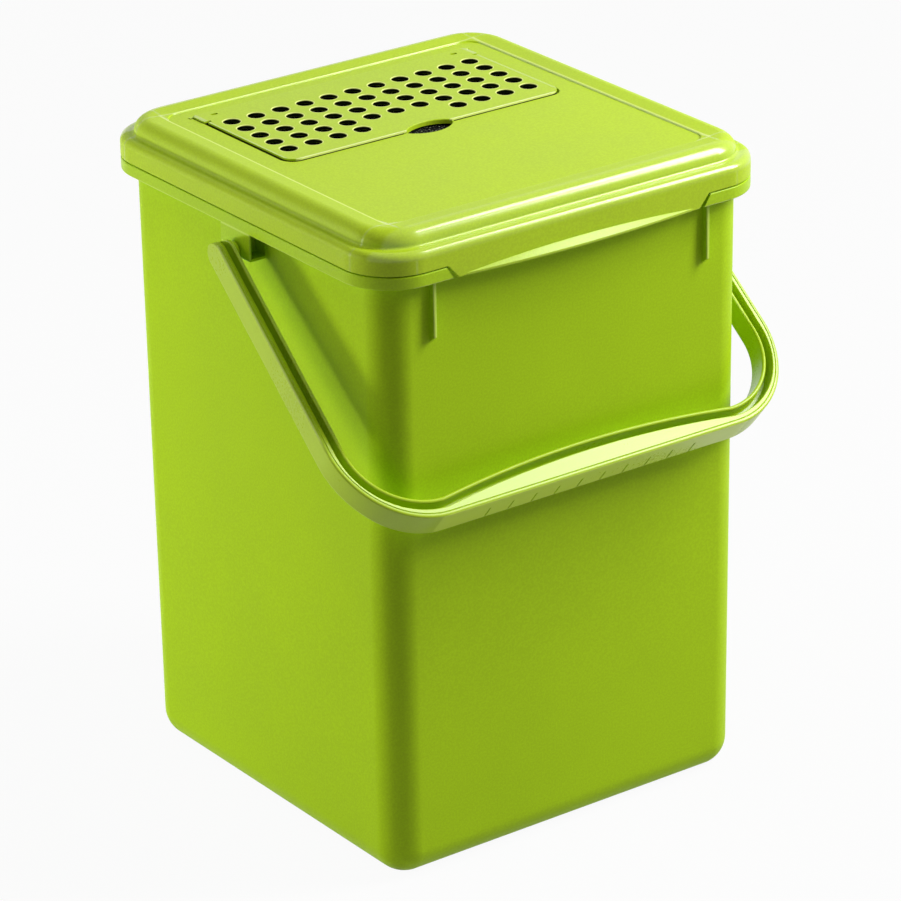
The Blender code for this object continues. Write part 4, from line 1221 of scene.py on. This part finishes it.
def handle_stations():
    """Sections from the left arm's rounded end to the grip's middle, as (x, distance) pairs and heights."""
    half = ARM_DEPTH / 2
    floor = half - GROOVE_DEPTH
    grip_back = GRIP_DEPTH - half
    inner_x = ARM_INNER + ARM_SPLAY
    outer_x = inner_x + ARM_WIDTH
    stations = []
    for step in range(END_STEPS):
        angle = math.pi / 2 * (1 - step / END_STEPS) * 0.985
        high = half * math.cos(angle)
        t = -half * math.sin(angle)
        low_floor = min(max(floor, -high + 1.4 * MM), high - 0.05 * MM)
        stations.append(Station((-(ARM_INNER + ARM_WIDTH), t), (-ARM_INNER, t), high, high, low_floor))
    for step in range(ARM_STEPS):
        way = step / ARM_STEPS
        out = ARM_SPLAY * way
        outer = (-(ARM_INNER + ARM_WIDTH + out), ARM_LENGTH * way)
        inner = (-(ARM_INNER + out), INNER_BEND_START * way)
        stations.append(Station(outer, inner, half, half, floor))
    for step, (s, c) in enumerate(quarter(BEND_STEPS)):
        outer = (-(BEND_X + (outer_x - BEND_X) * c), ARM_LENGTH + (GRIP_OUTER - ARM_LENGTH) * s)
        inner_t = INNER_BEND_START + (grip_inner(BEND_X) - INNER_BEND_START) * s
        inner = (-(BEND_X + (inner_x - BEND_X) * c), inner_t)
        way = step / BEND_STEPS
        blend = way * way * (3 - 2 * way)
        stations.append(Station(outer, inner, half, half + (grip_back - half) * blend, floor))
    for step in range(1, GRIP_STEPS + 1):
        x = -BEND_X * (1 - step / GRIP_STEPS)
        stations.append(Station((x, GRIP_OUTER), (x, grip_inner(x)), half, grip_back, floor))
    return stations


def rounded_corner(corner, toward, onward, radius, steps=4):
    """Points round a square corner between two directions."""
    return [
        (
            corner[0] + radius * (toward[0] * (1 - s) + onward[0] * (1 - c)),
            corner[1] + radius * (toward[1] * (1 - s) + onward[1] * (1 - c)),
        )
        for s, c in quarter(steps)
    ]


def arm_section(station, edge):
    """The handle's section with its groove, as (distance from the inner edge, height) points."""
    outer, inner = Vector(station.outer), Vector(station.inner)
    width = (outer - inner).length
    front, back, floor = station.front, -station.back, station.floor
    small = min(1.0, (front - back) / (4 * edge))
    side = edge * small
    wall_top = min(0.45 * MM, (front - floor) * 0.45)
    root = min(0.9 * MM, (front - floor) * 0.4)
    thin = min(FLANGE * 0.48, (front - floor) * 0.45)
    left, right, up, down = (-1, 0), (1, 0), (0, 1), (0, -1)
    groove_far = FLANGE + GROOVE
    points = rounded_corner((groove_far, front), down, right, wall_top)
    line, nick = width - LINE_INSET, min(0.3 * MM, (front - floor) * 0.3)
    points += [(line - nick, front), (line, front - nick), (line + nick, front)]
    points += rounded_corner((width, front), left, down, side)
    points += rounded_corner((width, back), up, left, side)
    points += rounded_corner((0.0, back), right, up, side * 0.8)
    points += rounded_corner((0.0, front), down, right, thin)
    points += rounded_corner((FLANGE, front), left, down, thin)
    points += rounded_corner((FLANGE, floor), up, right, root)
    points += rounded_corner((groove_far, floor), left, up, root)
    along = (outer - inner) / width
    return [(*(inner + along * d), h) for d, h in points]


def placed(point):
    """A point of the handle's own plane, (x, distance, height), before it is turned to rest."""
    x, t, height = point
    return Vector((x, -t, height))


def section_loft(sections):
    """A skin through sections of equal count, closed at its first and open at its last.

    Each section is extruded from the one before and moved to its place.
    """
    bm = bmesh.new()
    verts = [bm.verts.new(placed(point)) for point in sections[0]]
    edges = [bm.edges.new(pair) for pair in zip(verts, verts[1:] + verts[:1])]
    bmesh.ops.edgeloop_fill(bm, edges=edges)
    for points in sections[1:]:
        fresh = set(extrude(bm, edges)[0])
        verts = [next(e.other_vert(v) for e in v.link_edges if e.other_vert(v) in fresh) for v in verts]
        for vert, point in zip(verts, points):
            vert.co = placed(point)
        edges = [bm.edges.get(pair) for pair in zip(verts, verts[1:] + verts[:1])]
    return bm


def mirrored(bm):
    bmesh.ops.mirror(bm, geom=[*bm.verts, *bm.edges, *bm.faces], axis="X", merge_dist=MERGE)
    bmesh.ops.remove_doubles(bm, verts=bm.verts, dist=MERGE)
    return outward(bm)


def grip_hollow():
    """The hollow in the back of the grip."""
    sections = []
    for station in handle_stations()[-30:]:
        outer, inner = Vector(station.outer), Vector(station.inner)
        width = (outer - inner).length
        along = (outer - inner) / width
        near, far = FLANGE + GROOVE + HOLLOW_WALL, width - HOLLOW_WALL
        if far - near < 1.2 * MM:
            continue
        roof, open_end = station.front - HOLLOW_WALL, -station.back - PAST
        shape = rounded_corner((near, roof), (0, -1), (1, 0), 0.5 * MM, 3)
        shape += rounded_corner((far, roof), (-1, 0), (0, -1), 0.5 * MM, 3)
        shape += [(far, open_end), (near, open_end)]
        sections.append([(*(inner + along * d), h) for d, h in shape])
    return mirrored(section_loft(sections))


def grip_lines(lines, pitch):
    """Cutters for the short lines across the outer face of the grip."""
    bm = bmesh.new()
    half = ARM_DEPTH / 2
    size = (0.8 * MM, 1.2 * MM, 6.5 * MM)
    low = half - GRIP_DEPTH + MM
    for index in range(lines):
        x = (index - (lines - 1) / 2) * pitch
        made = bmesh.ops.create_cube(bm, size=1.0)["verts"]
        place = Matrix.Translation((x, -GRIP_OUTER, low + size[2] / 2))
        bmesh.ops.transform(bm, matrix=place @ Matrix.Diagonal((*size, 1.0)), verts=made)
    bevel_edges(bm, list(bm.edges), 0.3 * MM, 2)
    return bm


class CADDY_OT_handle(bpy.types.Operator):
    """Builds the grooved bail handle with its bosses, pins and lined grip"""

    bl_idname = "caddy.handle"
    bl_label = "Handle"

    def execute(self, context):
        s = context.scene.caddy_handle
        sections = [arm_section(station, s.edge) for station in handle_stations()]
        body = mirrored(section_loft(sections))
        steps = [cut(grip_hollow())]
        if s.lines:
            steps.append(cut(grip_lines(s.lines, s.line_pitch)))
        for side in (-1, 1):
            root = side * (ARM_INNER + FLANGE / 2)
            steps.append(join(rod(BOSS_RADIUS, root, side * (RIM_W + 0.3 * MM), 0.0, 0.0, 0.3 * MM)))
            steps.append(join(rod(PIN_RADIUS, root, side * PIN_TIP, 0.0, 0.0, 0.4 * MM)))
        mesh = carved(body, steps)
        place = Matrix.Translation((0.0, PIVOT_Y, PIVOT_Z)) @ Matrix.Rotation(handle_rest(), 4, "X")
        mesh.transform(place)
        look = {"dress": painted_grip_light, "fleck": 0.2}
        plastic = moulded_green("handle gloss green", s.color, s.roughness, s.grain, 0.36, **look)
        finish_piece("carry_handle", mesh, plastic, "handle", "handle")
        return {"FINISHED"}


# Studio

CAMERA_EYE = (-1.0515, -1.4596, 0.9213)
CAMERA_TURN = (math.radians(-35.931), math.radians(23.538), math.radians(-0.973))
CAMERA_LENS = 188.667  # millimetres


def add_camera():
    """The photograph's viewpoint."""
    data = bpy.data.cameras.new("photo camera")
    data.lens = CAMERA_LENS
    data.sensor_width = 36.0
    data.sensor_fit = "HORIZONTAL"
    camera = linked("photo camera", data)
    azimuth, elevation, roll = CAMERA_TURN
    turn = Matrix.Rotation(azimuth, 4, "Z") @ Matrix.Rotation(math.pi / 2 - elevation, 4, "X")
    camera.matrix_world = Matrix.Translation(CAMERA_EYE) @ turn @ Matrix.Rotation(roll, 4, "Z")
    bpy.context.scene.camera = camera


def add_lamp(name, place, target, size, watts, reflected=True):
    data = bpy.data.lights.new(name, "AREA")
    data.shape = "RECTANGLE"
    data.size, data.size_y = size
    data.energy = watts
    lamp = linked(name, data)
    lamp.location = place
    lamp.visible_glossy = reflected
    lamp.rotation_euler = (Vector(target) - Vector(place)).to_track_quat("-Z", "Y").to_euler()


def add_world(ambient):
    """White where the camera or a mirror sees it, and a dim even light on everything else."""
    world = bpy.data.worlds.new("studio")
    bpy.context.scene.world = world
    world.use_nodes = True
    nodes = Nodes(world.node_tree)
    nodes.tree.nodes.clear()
    lit = nodes.add("ShaderNodeBackground", values={"Color": (ambient, ambient, ambient)})
    white = nodes.add("ShaderNodeBackground", values={"Color": (1.0, 1.0, 1.0)})
    mixed = nodes.add("ShaderNodeMixShader", values={0: nodes.seen(), 1: lit, 2: white})
    out = nodes.tree.nodes.new("ShaderNodeOutputWorld")
    nodes.plug(out.inputs["Surface"], mixed)


def add_floor(color):
    """A pale floor that reads white to the camera and keeps the caddy's shadow."""
    bm = bmesh.new()
    bmesh.ops.create_grid(bm, x_segments=1, y_segments=1, size=3.0)
    floor = linked("studio_floor", mesh_of(bm, "studio_floor"))
    finish = Finish("pale floor")
    finish.shade(Base_Color=color, Roughness=0.9, Specular_IOR_Level=0.0)
    glow = finish.add("ShaderNodeEmission", values={"Color": (1.0, 1.0, 1.0), "Strength": 1.0})
    matt = Wire(finish, finish.shader.outputs[0])
    mixed = finish.add("ShaderNodeMixShader", values={0: finish.seen() * 0.95, 1: matt, 2: glow})
    finish.plug(finish.tree.nodes["Material Output"].inputs["Surface"], mixed)
    floor.data.materials.append(finish.material)


class CADDY_OT_studio(bpy.types.Operator):
    """Sets up the pale floor, the soft lamps and the photograph's camera"""

    bl_idname = "caddy.studio"
    bl_label = "Studio"

    def execute(self, context):
        s = context.scene.caddy_studio
        add_camera()
        add_floor(s.floor)
        add_world(s.ambient)
        level = s.level
        add_lamp("left key", (-0.590, 0.545, 0.035), (-0.09, -0.03, 0.18), (0.14, 0.14), 4.2 * level, False)
        add_lamp("left fill", (-1.25, 0.75, 0.45), (-0.09, 0.0, 0.13), (1.2, 0.8), 6.0 * level)
        add_lamp("main softbox", (0.73, -0.40, 1.14), (0.0, -0.09, 0.2), (0.30, 0.40), 7.6 * level)
        add_lamp("right softbox", (1.00, -0.70, 0.97), (0.0, -0.05, 0.16), (0.5, 0.5), 15.6 * level)
        add_lamp("top softbox", (-0.35, -0.05, 1.30), (0.0, 0.0, 0.25), (0.7, 0.7), 2.9 * level, False)
        context.scene.view_settings.view_transform = "Standard"
        return {"FINISHED"}


# Panel and registration

class CADDY_PT_panel(bpy.types.Panel):
    """Lists the caddy's operators"""

    bl_idname = "CADDY_PT_panel"
    bl_label = "Kitchen Compost Caddy"
    bl_space_type = "VIEW_3D"
    bl_region_type = "UI"
    bl_category = "Caddy"

    def draw(self, context):
        for operator in OPERATORS:
            self.layout.operator(operator.bl_idname)


SETTINGS = {
    "caddy_bucket": BucketSettings,
    "caddy_lid": LidSettings,
    "caddy_cover": CoverSettings,
    "caddy_filter": FilterSettings,
    "caddy_handle": HandleSettings,
    "caddy_studio": StudioSettings,
}
OPERATORS = (
    CADDY_OT_studio,
    CADDY_OT_bucket,
    CADDY_OT_lid,
    CADDY_OT_filter_cover,
    CADDY_OT_carbon_pad,
    CADDY_OT_handle,
)
CLASSES = (*SETTINGS.values(), *OPERATORS, CADDY_PT_panel)


def register():
    for item in CLASSES:
        bpy.utils.register_class(item)
    for name, group in SETTINGS.items():
        setattr(bpy.types.Scene, name, PointerProperty(type=group))


def unregister():
    for name in SETTINGS:
        delattr(bpy.types.Scene, name)
    for item in reversed(CLASSES):
        bpy.utils.unregister_class(item)


def main():
    register()
    bpy.ops.caddy.studio()
    bpy.ops.caddy.bucket()
    bpy.ops.caddy.lid()
    bpy.ops.caddy.filter_cover()
    bpy.ops.caddy.carbon_pad()
    bpy.ops.caddy.handle()


if __name__ == "__main__":
    main()
